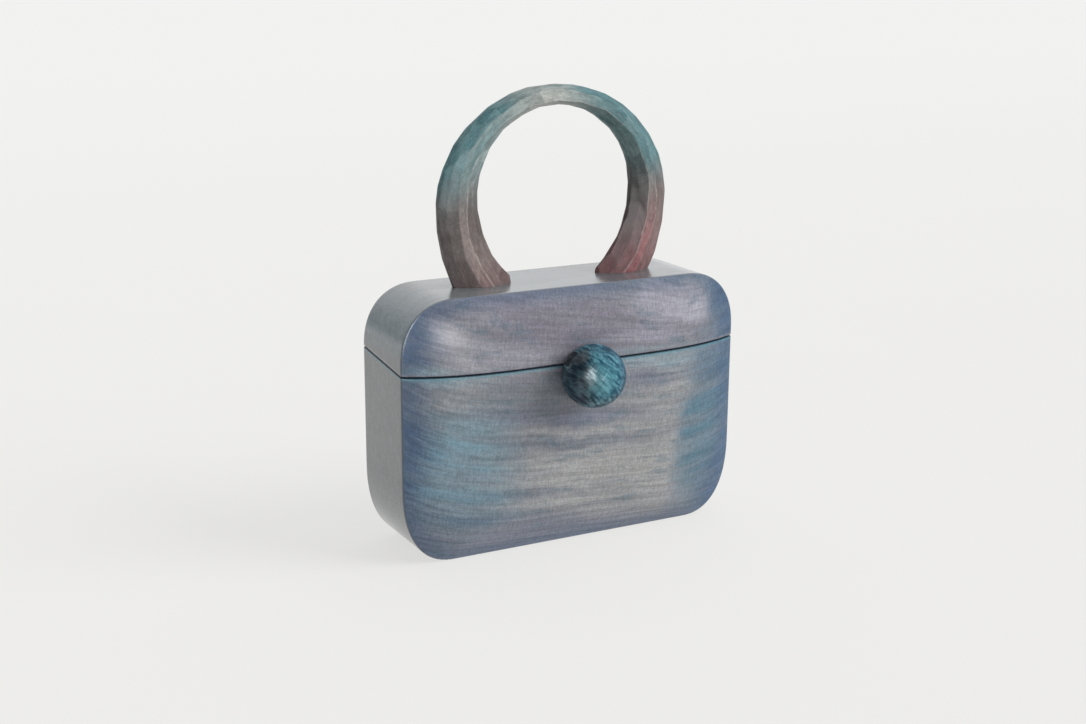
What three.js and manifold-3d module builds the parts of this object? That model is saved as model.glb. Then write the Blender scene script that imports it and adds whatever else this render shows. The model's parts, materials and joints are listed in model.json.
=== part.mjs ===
// A carved wooden handbag: a hollow box with a hinged lid, a ring handle on the lid and a ball clasp.
// Millimetres, +Z up, the front towards -Y. The origin is the middle of the base that it stands on.
import * as THREE from 'three';
import { mergeVertices } from 'three/addons/utils/BufferGeometryUtils.js';
import Module from 'manifold-3d';

const wasm = await Module();
wasm.setup();

// Driving dimensions
const GAP = 0.3;

const BOX = { width: 190, height: 133, band: 47, dome: 9.9, domePower: 4 };
const TOP_CORNER = { across: 28.5, up: 30.6, power: 2.25 };
const BASE_CORNER = { across: 27.8, up: 41.8, power: 2.4 };
const OUTSIDE = { inset: 0, band: BOX.band, dome: BOX.dome, turns: 120, rings: 7 };
const HOLLOW = { inset: 7, band: 37, dome: 8.4, turns: 72, rings: 4 };

// The seam's height is taken at mid depth, and it rises towards the back.
const SEAM = { height: 99.8, rise: 0.1117, opening: 0.4 };

// Heights on the handle are above the lid's top. Its two curves are half ellipses, one up and one down from
// where they are widest, and the ring is cut from foot to foot through the sweep, in degrees to each side.
const HANDLE = {
  outer: { middle: 0, halfWidth: 64.8, widestAt: 38, up: 59.4, down: 75.7 },
  inner: { middle: 0.4, halfWidth: 44, widestAt: 44.2, up: 43.5, down: 51 },
  depthAtTop: 11.5,
  depthAtLegs: 14,
  flatFront: 5.4,
  edge: 2.4,
  tipFromMiddle: 27,
  sweep: 156,
  cuts: 26,
};

// The scallop's angle is in degrees, anticlockwise from the right as seen from the front.
const KNOB = { radius: 16, centreY: -42.7, centreZ: 91.2, backY: -33.8, facets: 3 };
const PEG = { radius: 2.5, endY: -28.5, sides: 16 };
const SCALLOP = { radius: 4.2, fromCentre: 16.3, angle: 141, depth: 8.9, sides: 20 };

// A hinge is three knuckles on one pin. The leaf's sizes are from the pin, along the seam.
const HINGE = { axisY: 35.2, fromMiddle: 31, knuckle: 9, barrel: 2.3, bore: 1.3, pin: 1, sides: 16 };
const LEAF = { thickness: 1, inner: -8, outer: -2.7, fromSeam: 0.15 };

const MID_HEIGHT = BOX.height / 2;
const SEAM_ANGLE = Math.atan(SEAM.rise);
const HINGE_LENGTH = 3 * HINGE.knuckle + 2 * GAP;
const LARGE = 400;
const WELD = 1e-4;
const HALVINGS = 40;

// Finishes
const dyedWood = () => new THREE.MeshStandardMaterial({ color: 0x6d7890, roughness: 0.45, metalness: 0 });
const lidWood = () => new THREE.MeshStandardMaterial({ color: 0x7d8096, roughness: 0.45, metalness: 0 });
const handleWood = () => new THREE.MeshStandardMaterial({ color: 0x6f7a7c, roughness: 0.55, metalness: 0 });
const tealWood = () => new THREE.MeshStandardMaterial({ color: 0x2f6f7d, roughness: 0.4, metalness: 0 });
const brass = () => new THREE.MeshStandardMaterial({ color: 0xb08d4a, roughness: 0.35, metalness: 1 });

// Solids and cuts

// Makes a solid of a closed geometry: shared corners are merged, collapsed triangles are dropped
// and the faces are turned outwards.
function solid(geometry) {
  const bare = geometry.clone();
  bare.deleteAttribute('normal');
  bare.deleteAttribute('uv');
  const merged = mergeVertices(bare, WELD);
  const corners = merged.index.array;
  const triangles = [];
  for (let i = 0; i < corners.length; i += 3) {
    const [a, b, c] = corners.slice(i, i + 3);
    if (a !== b && b !== c && c !== a) {
      triangles.push(a, b, c);
    }
  }
  const vertProperties = Float32Array.from(merged.attributes.position.array);
  const outward = new wasm.Manifold(triangleMesh(vertProperties, triangles));
  if (outward.volume() > 0) {
    return outward;
  }
  return new wasm.Manifold(triangleMesh(vertProperties, triangles.reverse()));
}

function triangleMesh(vertProperties, triangles) {
  return new wasm.Mesh({ numProp: 3, vertProperties, triVerts: Uint32Array.from(triangles) });
}

function named(name, shape, material) {
  const { vertProperties, triVerts } = shape.getMesh();
  const geometry = new THREE.BufferGeometry();
  geometry.setAttribute('position', new THREE.BufferAttribute(vertProperties, 3));
  geometry.setIndex(new THREE.BufferAttribute(triVerts, 1));
  geometry.computeVertexNormals();
  const piece = new THREE.Mesh(geometry, material);
  piece.name = name;
  return piece;
}

function block(low, high) {
  const box = new THREE.Box3(new THREE.Vector3(...low), new THREE.Vector3(...high));
  const size = box.getSize(new THREE.Vector3());
  const centre = box.getCenter(new THREE.Vector3());
  return new THREE.BoxGeometry(size.x, size.y, size.z).translate(centre.x, centre.y, centre.z);
}

function rodAlongX(radius, from, to, sides) {
  const rod = new THREE.CylinderGeometry(radius, radius, to - from, sides);
  return rod.rotateZ(Math.PI / 2).translate((from + to) / 2, 0, 0);
}

// A rod along the depth of the bag, at a place on its front.
function rodAlongY(radius, from, to, sides, x, z) {
  const rod = new THREE.CylinderGeometry(radius, radius, to - from, sides);
  return rod.translate(x, (from + to) / 2, z);
}

// The box

// True inside the front outline, whose straight sides run into rounded corners.
function insideOutline(x, up, inset) {
  const corner = up > 0 ? TOP_CORNER : BASE_CORNER;
  const across = corner.across - inset;
  const rise = corner.up - inset;
  const pastSide = Math.max(Math.abs(x) - (BOX.width / 2 - corner.across), 0) / across;
  const pastEnd = Math.max(Math.abs(up) - (MID_HEIGHT - corner.up), 0) / rise;
  return pastSide ** corner.power + pastEnd ** corner.power <= 1;
}

// How far the outline lies from the middle of the front, in the direction of an angle from straight up.
function reach(angle, inset) {
  let near = 0;
  let far = BOX.width;
  for (let halving = 0; halving < HALVINGS; halving += 1) {
    const middle = (near + far) / 2;
    if (insideOutline(middle * Math.sin(angle), middle * Math.cos(angle), inset)) {
      near = middle;
    } else {
      far = middle;
    }
  }
  return near;
}

// A pillow: a profile turned about the depth axis, domed at the front and back with a plain band between,
// whose rim is then drawn out to the outline.
function pillow({ inset, band, dome, turns, rings }) {
  const front = [];
  for (let ring = 0; ring <= rings; ring += 1) {
    const radius = Math.sin((ring / rings) * (Math.PI / 2));
    front.push(new THREE.Vector2(radius, -band / 2 - dome * (1 - radius ** BOX.domePower)));
  }
  const back = front.map((point) => new THREE.Vector2(point.x, -point.y)).reverse();
  const geometry = new THREE.LatheGeometry([...front, ...back], turns);
  const place = geometry.attributes.position;
  for (let i = 0; i < place.count; i += 1) {
    const x = place.getX(i);
    const up = place.getZ(i);
    const stretch = reach(Math.atan2(x, up), inset);
    place.setXYZ(i, x * stretch, place.getY(i), MID_HEIGHT + up * stretch);
  }
  return solid(geometry);
}

// All the room on one side of the seam, side being 1 above it and -1 below it.
function roomBesideSeam(side) {
  const offset = side * (LARGE + SEAM.opening) / 2;
  const room = new THREE.BoxGeometry(LARGE, LARGE, LARGE).translate(0, 0, offset);
  return solid(room.rotateX(SEAM_ANGLE).translate(0, 0, SEAM.height));
}

// The handle

// A point on one of the handle's two curves, at an angle from the top of the ring.
function handlePoint(curve, angle) {
  const stretch = Math.cos(angle) > 0 ? curve.up : curve.down;
  const x = curve.middle + curve.halfWidth * Math.sin(angle);
  const z = curve.widestAt + stretch * Math.cos(angle);
  return new THREE.Vector2(x, BOX.height + z);
}

// The eight corners of the carved section, outward from the ring's own curve and then along the depth.
function handleSection(halfThickness, halfDepth) {
  const flat = HANDLE.flatFront / 2;
  const edge = HANDLE.edge / 2;
  return [
    [-flat, -halfDepth],
    [flat, -halfDepth],
    [halfThickness, -edge],
    [halfThickness, edge],
    [flat, halfDepth],
    [-flat, halfDepth],
    [-halfThickness, edge],
    [-halfThickness, -edge],
  ];
}

// A straight eight sided bar, bent round the ring from foot to foot, each cut at its own size.
function bentRing() {
  const corners = handleSection(1, 1).length;
  const bar = new THREE.CylinderGeometry(1, 1, 1, corners, HANDLE.cuts);
  const place = bar.attributes.position;
  for (let i = 0; i < place.count; i += 1) {
    const angle = 2 * place.getY(i) * THREE.MathUtils.degToRad(HANDLE.sweep);
    const outer = handlePoint(HANDLE.outer, angle);
    const inner = handlePoint(HANDLE.inner, angle);
    const middle = outer.clone().add(inner).multiplyScalar(0.5);
    const outward = outer.clone().sub(inner).normalize();
    const legShare = Math.sin(angle / 2) ** 2;
    const depth = THREE.MathUtils.lerp(HANDLE.depthAtTop, HANDLE.depthAtLegs, Math.min(2 * legShare, 1));
    const section = handleSection(outer.distanceTo(inner) / 2, depth / 2);
    const onAxis = Math.hypot(place.getX(i), place.getZ(i)) < 0.5;
    const turn = Math.atan2(place.getX(i), place.getZ(i)) / (2 * Math.PI);
    const corner = (Math.round(turn * corners) + corners) % corners;
    const [out, along] = onAxis ? [0, 0] : section[corner];
    place.setXYZ(i, middle.x + out * outward.x, along, middle.y + out * outward.y);
  }
  return solid(bar);
}

function makeHandle() {
  const footZ = BOX.height + GAP;
  const aboveLid = block([-LARGE, -LARGE, footZ], [LARGE, LARGE, LARGE]);
  const tip = HANDLE.tipFromMiddle;
  const betweenTips = block([-tip, -LARGE, 0], [tip, LARGE, BOX.height + HANDLE.inner.widestAt / 2]);
  return bentRing().intersect(solid(aboveLid)).subtract(solid(betweenTips));
}

// The knob

function makeKnob() {
  const ball = new THREE.IcosahedronGeometry(KNOB.radius, KNOB.facets);
  ball.translate(0, KNOB.centreY, KNOB.centreZ);
  const behind = block([-LARGE, KNOB.backY, -LARGE], [LARGE, LARGE, LARGE]);
  const peg = rodAlongY(PEG.radius, KNOB.centreY, PEG.endY, PEG.sides, 0, KNOB.centreZ);
  const angle = THREE.MathUtils.degToRad(SCALLOP.angle);
  const x = SCALLOP.fromCentre * Math.cos(angle);
  const z = KNOB.centreZ + SCALLOP.fromCentre * Math.sin(angle);
  const scallop = rodAlongY(SCALLOP.radius, KNOB.backY - SCALLOP.depth, 0, SCALLOP.sides, x, z);
  return solid(ball).subtract(solid(behind)).subtract(solid(scallop)).add(solid(peg));
}

function pegHole() {
  const mouth = KNOB.backY - GAP;
  return solid(rodAlongY(PEG.radius + GAP, mouth, PEG.endY + GAP, PEG.sides, 0, KNOB.centreZ));
}

// The hinges, each about its own axis: X along the pin, Y along the seam to the back, Z across the seam

const hingeFrames = [-1, 1].map((side) => {
  const frame = new THREE.Group();
  const axisZ = SEAM.height + SEAM.rise * HINGE.axisY;
  frame.position.set(side * HINGE.fromMiddle, HINGE.axisY, axisZ);
  frame.rotation.x = SEAM_ANGLE;
  frame.updateMatrix();
  return frame;
});

// A leaf with its knuckles, side being 1 for the lid's leaf and -1 for the body's.
function hingeLeaf(side, knuckles) {
  const near = side * LEAF.fromSeam;
  const far = side * (LEAF.fromSeam + LEAF.thickness);
  const low = Math.min(near, far);
  const high = Math.max(near, far);
  const half = HINGE_LENGTH / 2;
  let leaf = solid(block([-half, LEAF.inner, low], [half, LEAF.outer, high]));
  for (const knuckle of knuckles) {
    const middle = knuckle * (HINGE.knuckle + GAP);
    const from = middle - HINGE.knuckle / 2;
    const to = middle + HINGE.knuckle / 2;
    leaf = leaf.add(solid(block([from, LEAF.outer - GAP, low], [to, -HINGE.bore, high])));
    leaf = leaf.add(solid(rodAlongX(HINGE.barrel, from, to, HINGE.sides)));
  }
  return leaf.subtract(solid(rodAlongX(HINGE.bore, -LARGE, LARGE, HINGE.sides)));
}

// The recess that a leaf lies in, in the bag's own frame.
function leafRecess(frame, side) {
  const half = HINGE_LENGTH / 2 + GAP;
  const bottom = side * (LEAF.fromSeam + LEAF.thickness + GAP);
  const low = Math.min(bottom, 0);
  const high = Math.max(bottom, 0);
  const recess = block([-half, LEAF.inner - GAP, low], [half, HINGE.barrel, high]);
  return solid(recess.applyMatrix4(frame.matrix));
}

// The bag

const shell = pillow(OUTSIDE).subtract(pillow(HOLLOW));
let body = shell.intersect(roomBesideSeam(-1)).subtract(pegHole());
let lid = shell.intersect(roomBesideSeam(1));
for (const frame of hingeFrames) {
  body = body.subtract(leafRecess(frame, -1));
  lid = lid.subtract(leafRecess(frame, 1));
}

const handbag = new THREE.Group();
handbag.add(named('body', body, dyedWood()));
handbag.add(named('lid', lid, lidWood()));
handbag.add(named('handle', makeHandle(), handleWood()));
handbag.add(named('knob', makeKnob(), tealWood()));

const sides = ['left', 'right'];
hingeFrames.forEach((frame, i) => {
  const pin = solid(rodAlongX(HINGE.pin, -HINGE_LENGTH / 2, HINGE_LENGTH / 2, HINGE.sides));
  frame.add(named(`hinge_leaf_body_${sides[i]}`, hingeLeaf(-1, [-1, 1]), brass()));
  frame.add(named(`hinge_leaf_lid_${sides[i]}`, hingeLeaf(1, [0]), brass()));
  frame.add(named(`hinge_pin_${sides[i]}`, pin, brass()));
  handbag.add(frame);
});

export default handbag;
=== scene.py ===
import json
import math
import random
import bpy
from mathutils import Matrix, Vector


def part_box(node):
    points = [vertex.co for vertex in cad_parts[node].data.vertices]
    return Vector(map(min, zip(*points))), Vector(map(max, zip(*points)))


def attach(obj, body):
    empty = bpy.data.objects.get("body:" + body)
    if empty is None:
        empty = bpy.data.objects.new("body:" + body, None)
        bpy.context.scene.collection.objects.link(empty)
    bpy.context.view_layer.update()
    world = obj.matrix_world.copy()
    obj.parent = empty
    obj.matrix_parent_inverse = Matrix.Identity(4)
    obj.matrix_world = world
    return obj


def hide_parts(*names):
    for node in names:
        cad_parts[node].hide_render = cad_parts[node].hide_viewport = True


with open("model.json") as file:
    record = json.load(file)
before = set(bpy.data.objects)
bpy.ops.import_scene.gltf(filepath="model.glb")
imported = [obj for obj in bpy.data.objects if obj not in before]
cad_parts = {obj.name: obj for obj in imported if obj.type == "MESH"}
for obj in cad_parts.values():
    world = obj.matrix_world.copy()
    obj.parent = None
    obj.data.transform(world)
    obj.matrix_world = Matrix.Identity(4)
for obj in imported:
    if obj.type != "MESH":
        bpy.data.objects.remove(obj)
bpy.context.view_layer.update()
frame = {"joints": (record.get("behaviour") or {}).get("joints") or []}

from types import SimpleNamespace

import bmesh
import bpy
from bpy.props import FloatProperty, FloatVectorProperty, IntProperty, PointerProperty
from mathutils import Matrix, Vector

bl_info = {
    "name": "Carved Wooden Handbag",
    "version": (1, 0, 0),
    "blender": (4, 5, 0),
    "location": "3D View > Sidebar > Handbag",
    "description": "Builds a carved, dyed wooden handbag round its fixed frame, on a plain stage",
    "category": "Object",
}

# Places that come from the frame, in metres

BODY_LOW, BODY_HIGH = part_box("body")
LID_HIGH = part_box("lid")[1]
KNOB_LOW, KNOB_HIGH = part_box("knob")


def joint_place(name):
    """The point that a joint turns about."""
    for joint in frame["joints"]:
        if joint["name"] == name:
            return Vector(joint["pos_m"])
    raise ValueError(f"the frame has no joint named {name}")


HINGE_PLACE = joint_place("lid_hinge")
KNOB_PLACE = joint_place("knob_turn")

# Points closer than WELD are one point, and what a boolean leaves thinner than SLIVER is cleared
WELD = 1e-6
SLIVER = 4e-6
SHARP_ANGLE = math.radians(38)
BACKWARD = Vector((0, 1, 0))


# Sizes and colours that a user would change


def dye(red, green, blue):
    """A colour that is written as eight bit values on a screen, as the shaders' linear values."""
    def linear(value):
        share = value / 255
        return share / 12.92 if share <= 0.04045 else ((share + 0.055) / 1.055) ** 2.4
    return (linear(red), linear(green), linear(blue))


def a_length(name, description, default):
    """A property in metres."""
    return FloatProperty(name=name, description=description, unit="LENGTH", default=default)


def a_number(name, description, default):
    """A property without a unit."""
    return FloatProperty(name=name, description=description, default=default)


def a_count(name, description, default):
    """A property that is a whole number."""
    return IntProperty(name=name, description=description, default=default)


def an_angle(name, description, degrees):
    """An angle property, with its default in degrees."""
    return FloatProperty(
        name=name, description=description, subtype="ANGLE", unit="ROTATION",
        default=math.radians(degrees))


def a_power(name, description, watts):
    """A property for a light's power."""
    return FloatProperty(name=name, description=description, unit="POWER", default=watts)


def a_colour(name, description, *screen):
    """A colour property, with its default in eight bit values."""
    return FloatVectorProperty(
        name=name, description=description, subtype="COLOR", size=3, min=0, max=1, default=dye(*screen))


class BoxSizes(bpy.types.PropertyGroup):
    """The box: its outline, its domes, the seam and the hollow."""

    width: a_length("Width", "Across the front", BODY_HIGH.x - BODY_LOW.x)
    height: a_length("Height", "From the base to the lid's top", LID_HIGH.z)
    half_depth: a_length("Half depth", "From mid depth to the top of a dome", -BODY_LOW.y)
    band: a_length("Band", "From crease to crease", 0.047)
    top_across: a_length("Top corner across", "Reach of a top corner's rounding along the top", 0.0285)
    top_up: a_length("Top corner down", "Reach of a top corner's rounding down the side", 0.0306)
    top_power: a_number("Top corner fullness", "2 is an ellipse, and more is squarer", 2.25)
    base_across: a_length("Base corner across", "Reach of a base corner's rounding along the base", 0.0278)
    base_up: a_length("Base corner up", "Reach of a base corner's rounding up the side", 0.0418)
    base_power: a_number("Base corner fullness", "2 is an ellipse, and more is squarer", 2.4)
    dome_power: a_number("Dome fullness", "How flat the domes are in their middle", 4.0)
    crease: a_number("Crease", "Share of the rim that the eased crease takes", 0.009)
    crease_depth: a_length("Crease depth", "How far the eased crease reaches onto the band", 0.0008)
    seam_height: a_length("Seam height", "Height of the seam at mid depth", 0.0998)
    seam_rise: a_number("Seam rise", "How much the seam rises for its run to the back", 0.1117)
    seam_opening: a_length("Seam opening", "Gap between body and lid", 0.0004)
    seam_ease: a_length("Seam easing", "Rounding of the two edges at the seam", 0.0006)
    wall: a_length("Wall", "Thickness of the side walls", 0.007)
    hollow_band: a_length("Hollow band", "Depth of the hollow at its edge", 0.037)
    hollow_dome: a_length("Hollow dome", "How far the hollow follows a dome", 0.0084)
    turns: a_count("Turns", "Steps round the outline", 288)


class HandleSizes(bpy.types.PropertyGroup):
    """The ring handle. Heights are above the lid's top, and each curve is two half ellipses."""

    outer_half_width: a_length("Outer half width", "Half width of the outer curve", 0.0648)
    outer_widest: a_length("Outer widest", "Height at which the outer curve is widest", 0.038)
    outer_up: a_length("Outer rise", "From there up to the top", 0.0594)
    outer_down: a_length("Outer fall", "From there down to the curve's foot", 0.0757)
    inner_middle: a_length("Inner middle", "How far the opening stands to the right", 0.0004)
    inner_half_width: a_length("Inner half width", "Half width of the opening", 0.044)
    inner_widest: a_length("Inner widest", "Height at which the opening is widest", 0.0442)
    inner_up: a_length("Inner rise", "From there up to the opening's top", 0.0435)
    inner_down: a_length("Inner fall", "From there down to the curve's foot", 0.051)
    depth_at_top: a_length("Depth at top", "Front to back at the top", 0.0115)
    depth_at_legs: a_length("Depth at legs", "Front to back at the legs", 0.014)
    flat: a_length("Front flat", "Width of the front facet", 0.0054)
    edge: a_length("Edge facet", "Width of the inner and outer facets", 0.0024)
    shoulder: a_length("Shoulder", "How proud the ridge between two side facets stands", 0.0003)
    tip: a_length("Tip", "From the middle to the blunt tip of a foot", 0.0258)
    sweep: an_angle("Sweep", "How far the ring goes round to each side", 156)
    cuts: a_count("Cuts", "Knife cuts along the ring", 28)
    wander: a_length("Wander", "How far the ridges stray from their lines", 0.0008)


class KnobSizes(bpy.types.PropertyGroup):
    """The ball clasp with its scallop and peg."""

    radius: a_length("Radius", "Radius of the ball", (KNOB_HIGH.x - KNOB_LOW.x) / 2)
    back: a_length("Back", "Depth at which the ball is cut flat", -0.0338)
    facets: a_count("Facets", "Flats that the knife left on the ball", 44)
    planing: a_number("Planing", "How deep the flats lie, as a share of the radius", 0.013)
    rubbing: a_count("Rubbing", "Passes of sandpaper over the flats' ridges", 12)
    bare_depth: a_number("Bare flat", "How deep the bare flat lies, as a share of the radius", 0.028)
    peg_radius: a_length("Peg radius", "Radius of the peg behind the ball", 0.0025)
    peg_clearance: a_length("Peg clearance", "Room round the peg", 0.0003)
    scallop_radius: a_length("Scallop radius", "Radius of the round notch", 0.0042)
    scallop_distance: a_length("Scallop distance", "From the ball's middle to the notch's", 0.0163)
    scallop_angle: an_angle("Scallop angle", "Anticlockwise from the right, seen from the front", 141)
    scallop_depth: a_length("Scallop depth", "From the flat back into the ball", 0.0089)


class HingeSizes(bpy.types.PropertyGroup):
    """The two hinges at the back, each with three knuckles on one pin."""

    from_middle: a_length("From the middle", "From the bag's middle to a hinge's", 0.031)
    knuckle: a_length("Knuckle", "Length of one knuckle", 0.009)
    gap: a_length("Gap", "Running gap between the pieces", 0.0003)
    barrel: a_length("Barrel", "Radius of a knuckle", 0.0023)
    pin: a_length("Pin", "Radius of the pin", 0.001)
    leaf_inner: a_length("Leaf's inner edge", "From the pin to the leaf's far edge", 0.008)
    leaf_outer: a_length("Leaf's outer edge", "From the pin to the leaf's near edge", 0.0027)
    leaf_thickness: a_length("Leaf thickness", "Thickness of the plate", 0.001)
    leaf_from_seam: a_length("Leaf from seam", "From the middle of the seam to the plate", 0.00015)


class DyeColours(bpy.types.PropertyGroup):
    """The dyes on the wood, the other finishes, and colours that paint light and shade on them."""

    taupe: a_colour("Taupe", "The front's ground colour", 142, 143, 146)
    pale: a_colour("Pale", "Where the dye was rubbed back", 153, 153, 153)
    slate: a_colour("Slate", "Dark streaks along the grain", 104, 110, 122)
    # Indigo also paints part of the shade along the front's left edge
    indigo: a_colour("Indigo", "The deep dye round the domes' rims", 58, 83, 114)
    blue: a_colour("Blue", "The dye at the right edge", 72, 100, 122)
    teal: a_colour("Teal", "Green blue patches", 106, 144, 160)
    # Aqua is also laid on the band's upper corners as a painted reflection
    aqua: a_colour("Aqua", "Light blue below the seam", 138, 153, 161)
    petrol: a_colour("Petrol", "Green blue at the right", 82, 112, 128)
    lilac: a_colour("Lilac", "Light patches near the corners", 156, 155, 166)
    deep_teal: a_colour("Deep teal", "Flecks along the grain", 92, 112, 124)
    # Mauve is also the lid's painted highlight on its eased edge above the seam
    mauve: a_colour("Mauve", "The lid's front", 126, 123, 134)
    violet: a_colour("Violet", "Streaks and shaded patches", 108, 113, 130)
    # Partly dye, and partly painted shade of the gap between the halves
    seam: a_colour("Seam", "The two edges at the seam", 24, 38, 54)
    # A painted highlight on the body's eased edge below the seam
    seam_highlight: a_colour("Seam teal", "The thin line of dye below the seam", 76, 136, 150)
    band_dark: a_colour("Band dark", "Dark grain on the band", 96, 103, 108)
    # Painted shade that keeps the band's two sides darker than its top
    band_painted_shade: a_colour("Band side", "The band's two sides", 92, 97, 101)
    band_light: a_colour("Band light", "Light grain on the band", 120, 125, 128)
    handle_teal: a_colour("Handle teal", "The top of the ring", 80, 124, 130)
    handle_grey: a_colour("Handle grey", "Rubbed facets of the ring", 158, 157, 152)
    # Painted shade on the ring's leg facets that face left
    handle_painted_shade: a_colour("Handle shade", "The ring's outer and inner facets", 64, 78, 80)
    handle_brown: a_colour("Handle brown", "The ring's legs", 132, 117, 114)
    handle_rose: a_colour("Handle rose", "The ring's feet", 150, 94, 98)
    worn: a_colour("Worn", "Ridges that hands have rubbed", 186, 182, 176)
    # Knob dark is also painted shade at the knob's right edge
    knob_dark: a_colour("Knob dark", "The knob's ground colour", 16, 56, 74)
    # Knob light also paints the highlight on the ball's front and on the notch's lip
    knob_light: a_colour("Knob light", "Light grain on the knob", 112, 174, 184)
    knob_mid: a_colour("Knob middle", "The knob's dye between its grain lines", 34, 104, 126)
    knob_blue: a_colour("Knob blue", "Light grain at the knob's right", 40, 92, 128)
    # Painted shade on the knob's left, its underside and the wall of its notch
    knob_painted_shade: a_colour("Knob night", "The knob's left side", 24, 32, 44)
    knob_bare: a_colour("Knob bare", "The knob's bare flat", 84, 82, 84)
    bare: a_colour("Bare wood", "The inside of the box", 150, 130, 108)
    brass: a_colour("Brass", "The hinges", 186, 150, 84)


class StageSizes(bpy.types.PropertyGroup):
    """The floor, the lights and the camera."""

    floor_size: a_length("Floor", "Width of the floor", 40.0)
    camera_place: FloatVectorProperty(
        name="Camera place", description="Where the camera stands", subtype="TRANSLATION",
        unit="LENGTH", size=3, default=(-0.3849, -0.7036, 0.3015))
    camera_yaw: an_angle("Camera yaw", "Turned to the right of the bag's depth", 28.33)
    camera_pitch: an_angle("Camera pitch", "Tipped below the horizon", 14.9)
    camera_roll: an_angle("Camera roll", "Rolled about its line of sight", 0.39)
    lens: FloatProperty(
        name="Lens", description="Focal length on a 36 mm sensor", unit="CAMERA", default=53.2)
    room_dark: a_number("Dark side", "Brightness of the room in front and on the left", 0.2)
    room_bright: a_number("Bright side", "Brightness of the room behind, above and on the right", 1.0)
    backdrop: a_number("Backdrop", "Brightness of the paper that the camera sees behind the floor", 0.87)
    key_strength: a_number("Key", "Strength of the soft light above the right shoulder", 2.65)
    key_softness: an_angle("Key softness", "How wide that light is, seen from the bag", 42)
    left_window_power: a_power("Left window", "Power of the highlight on the knob", 44.0)
    front_window_power: a_power("Front window", "Power of the highlight on the lid", 4.5)


# Short calls for node trees


class Wiring:
    """A node tree, with short calls that add nodes and join them up."""

    def __init__(self, tree):
        self.tree = tree

    def link(self, source, target):
        """Joins an output to an input."""
        self.tree.links.new(source, target)

    def add(self, kind, settings=None, inputs=None):
        """Adds a node. An input that is a socket is linked, and any other value is set."""
        node = self.tree.nodes.new(kind)
        for name, value in (settings or {}).items():
            setattr(node, name, value)
        for name, value in (inputs or {}).items():
            if isinstance(value, bpy.types.NodeSocket):
                self.link(value, node.inputs[name])
            else:
                node.inputs[name].default_value = value
        return node

    def place(self):
        """The place on the piece, in metres."""
        return self.add("ShaderNodeTexCoord").outputs["Object"]

    def axes(self, place):
        """The parts of a place, under the names of the axes."""
        return self.add("ShaderNodeSeparateXYZ", None, {"Vector": place}).outputs

    def attribute(self, name, output="Fac"):
        """A value that the piece's own mesh holds."""
        return self.add("ShaderNodeAttribute", {"attribute_name": name}).outputs[output]

    def math(self, operation, first, second=0.0, clamp=False):
        """One step of arithmetic on values."""
        settings = {"operation": operation, "use_clamp": clamp}
        return self.add("ShaderNodeMath", settings, {0: first, 1: second}).outputs[0]

    def times(self, first, *factors):
        """The product of some values."""
        for factor in factors:
            first = self.math("MULTIPLY", first, factor)
        return first

    def plus(self, first, second, clamp=False):
        """The sum of two values, kept from 0 to 1 where clamp is set."""
        return self.math("ADD", first, second, clamp)

    def minus(self, first, second):
        """The difference of two values."""
        return self.math("SUBTRACT", first, second)

    def vector(self, operation, first, second=(0.0, 0.0, 0.0)):
        """One step of arithmetic on places."""
        node = self.add("ShaderNodeVectorMath", {"operation": operation}, {0: first, 1: second})
        return node.outputs["Value" if operation in ("LENGTH", "DOT_PRODUCT") else "Vector"]

    def rise(self, value, low, high):
        """0 below low, 1 above high and a smooth rise between. It falls if low is above high."""
        settings = {"interpolation_type": "SMOOTHSTEP"}
        ends = {"Value": value, "From Min": low, "From Max": high}
        if low > high:
            ends = {"Value": value, "From Min": high, "From Max": low, "To Min": 1.0, "To Max": 0.0}
        return self.add("ShaderNodeMapRange", settings, ends).outputs["Result"]

    def between(self, value, low, high):
        """Spreads a value from 0 to 1 over a plain range from low to high."""
        ends = {"Value": value, "To Min": low, "To Max": high}
        return self.add("ShaderNodeMapRange", None, ends).outputs["Result"]

    def tones(self, *layers):
        """A product of tones. Each has a mask, the tone where that is 0 and the tone where it is 1."""
        return self.times(*(self.between(mask, low, high) for mask, low, high in layers))

    def mix(self, share, first, second, blend="MIX"):
        """Mixes two colours."""
        settings = {"data_type": "RGBA", "blend_type": blend}
        node = self.add("ShaderNodeMix", settings, {0: share, 6: solid(first), 7: solid(second)})
        return node.outputs[2]

    def washes(self, base, *layers):
        """Lays dyes over a base in turn. Each has a mask, the share that it reaches and a colour."""
        for mask, share, colour in layers:
            base = self.mix(self.times(mask, share), base, colour)
        return base

    def mix_places(self, share, first, second):
        """Mixes two places."""
        node = self.add("ShaderNodeMix", {"data_type": "VECTOR"}, {0: share, 4: first, 5: second})
        return node.outputs[1]

    def noise(self, place, scale=1.0, detail=2.0, roughness=0.5, frequency=None, output="Fac"):
        """Soft noise from 0 to 1, with a frequency for each axis where one is given."""
        if frequency is not None:
            place = self.vector("MULTIPLY", place, frequency)
        inputs = {"Vector": place, "Scale": scale, "Detail": detail, "Roughness": roughness}
        return self.add("ShaderNodeTexNoise", None, inputs).outputs[output]

    def group(self, tree, inputs):
        """Places a node group and gives its outputs."""
        return self.add("ShaderNodeGroup", {"node_tree": tree}, inputs).outputs

    def turned(self, place, turn, kind="TEXTURE"):
        """A place in turned axes: those of a turned pattern, or for POINT the place itself turned."""
        inputs = {"Vector": place, "Rotation": turn}
        return self.add("ShaderNodeMapping", {"vector_type": kind}, inputs).outputs["Vector"]


def solid(value):
    """A plain colour with its alpha. Sockets pass through."""
    if isinstance(value, bpy.types.NodeSocket):
        return value
    return (*value[:3], 1.0)


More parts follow.
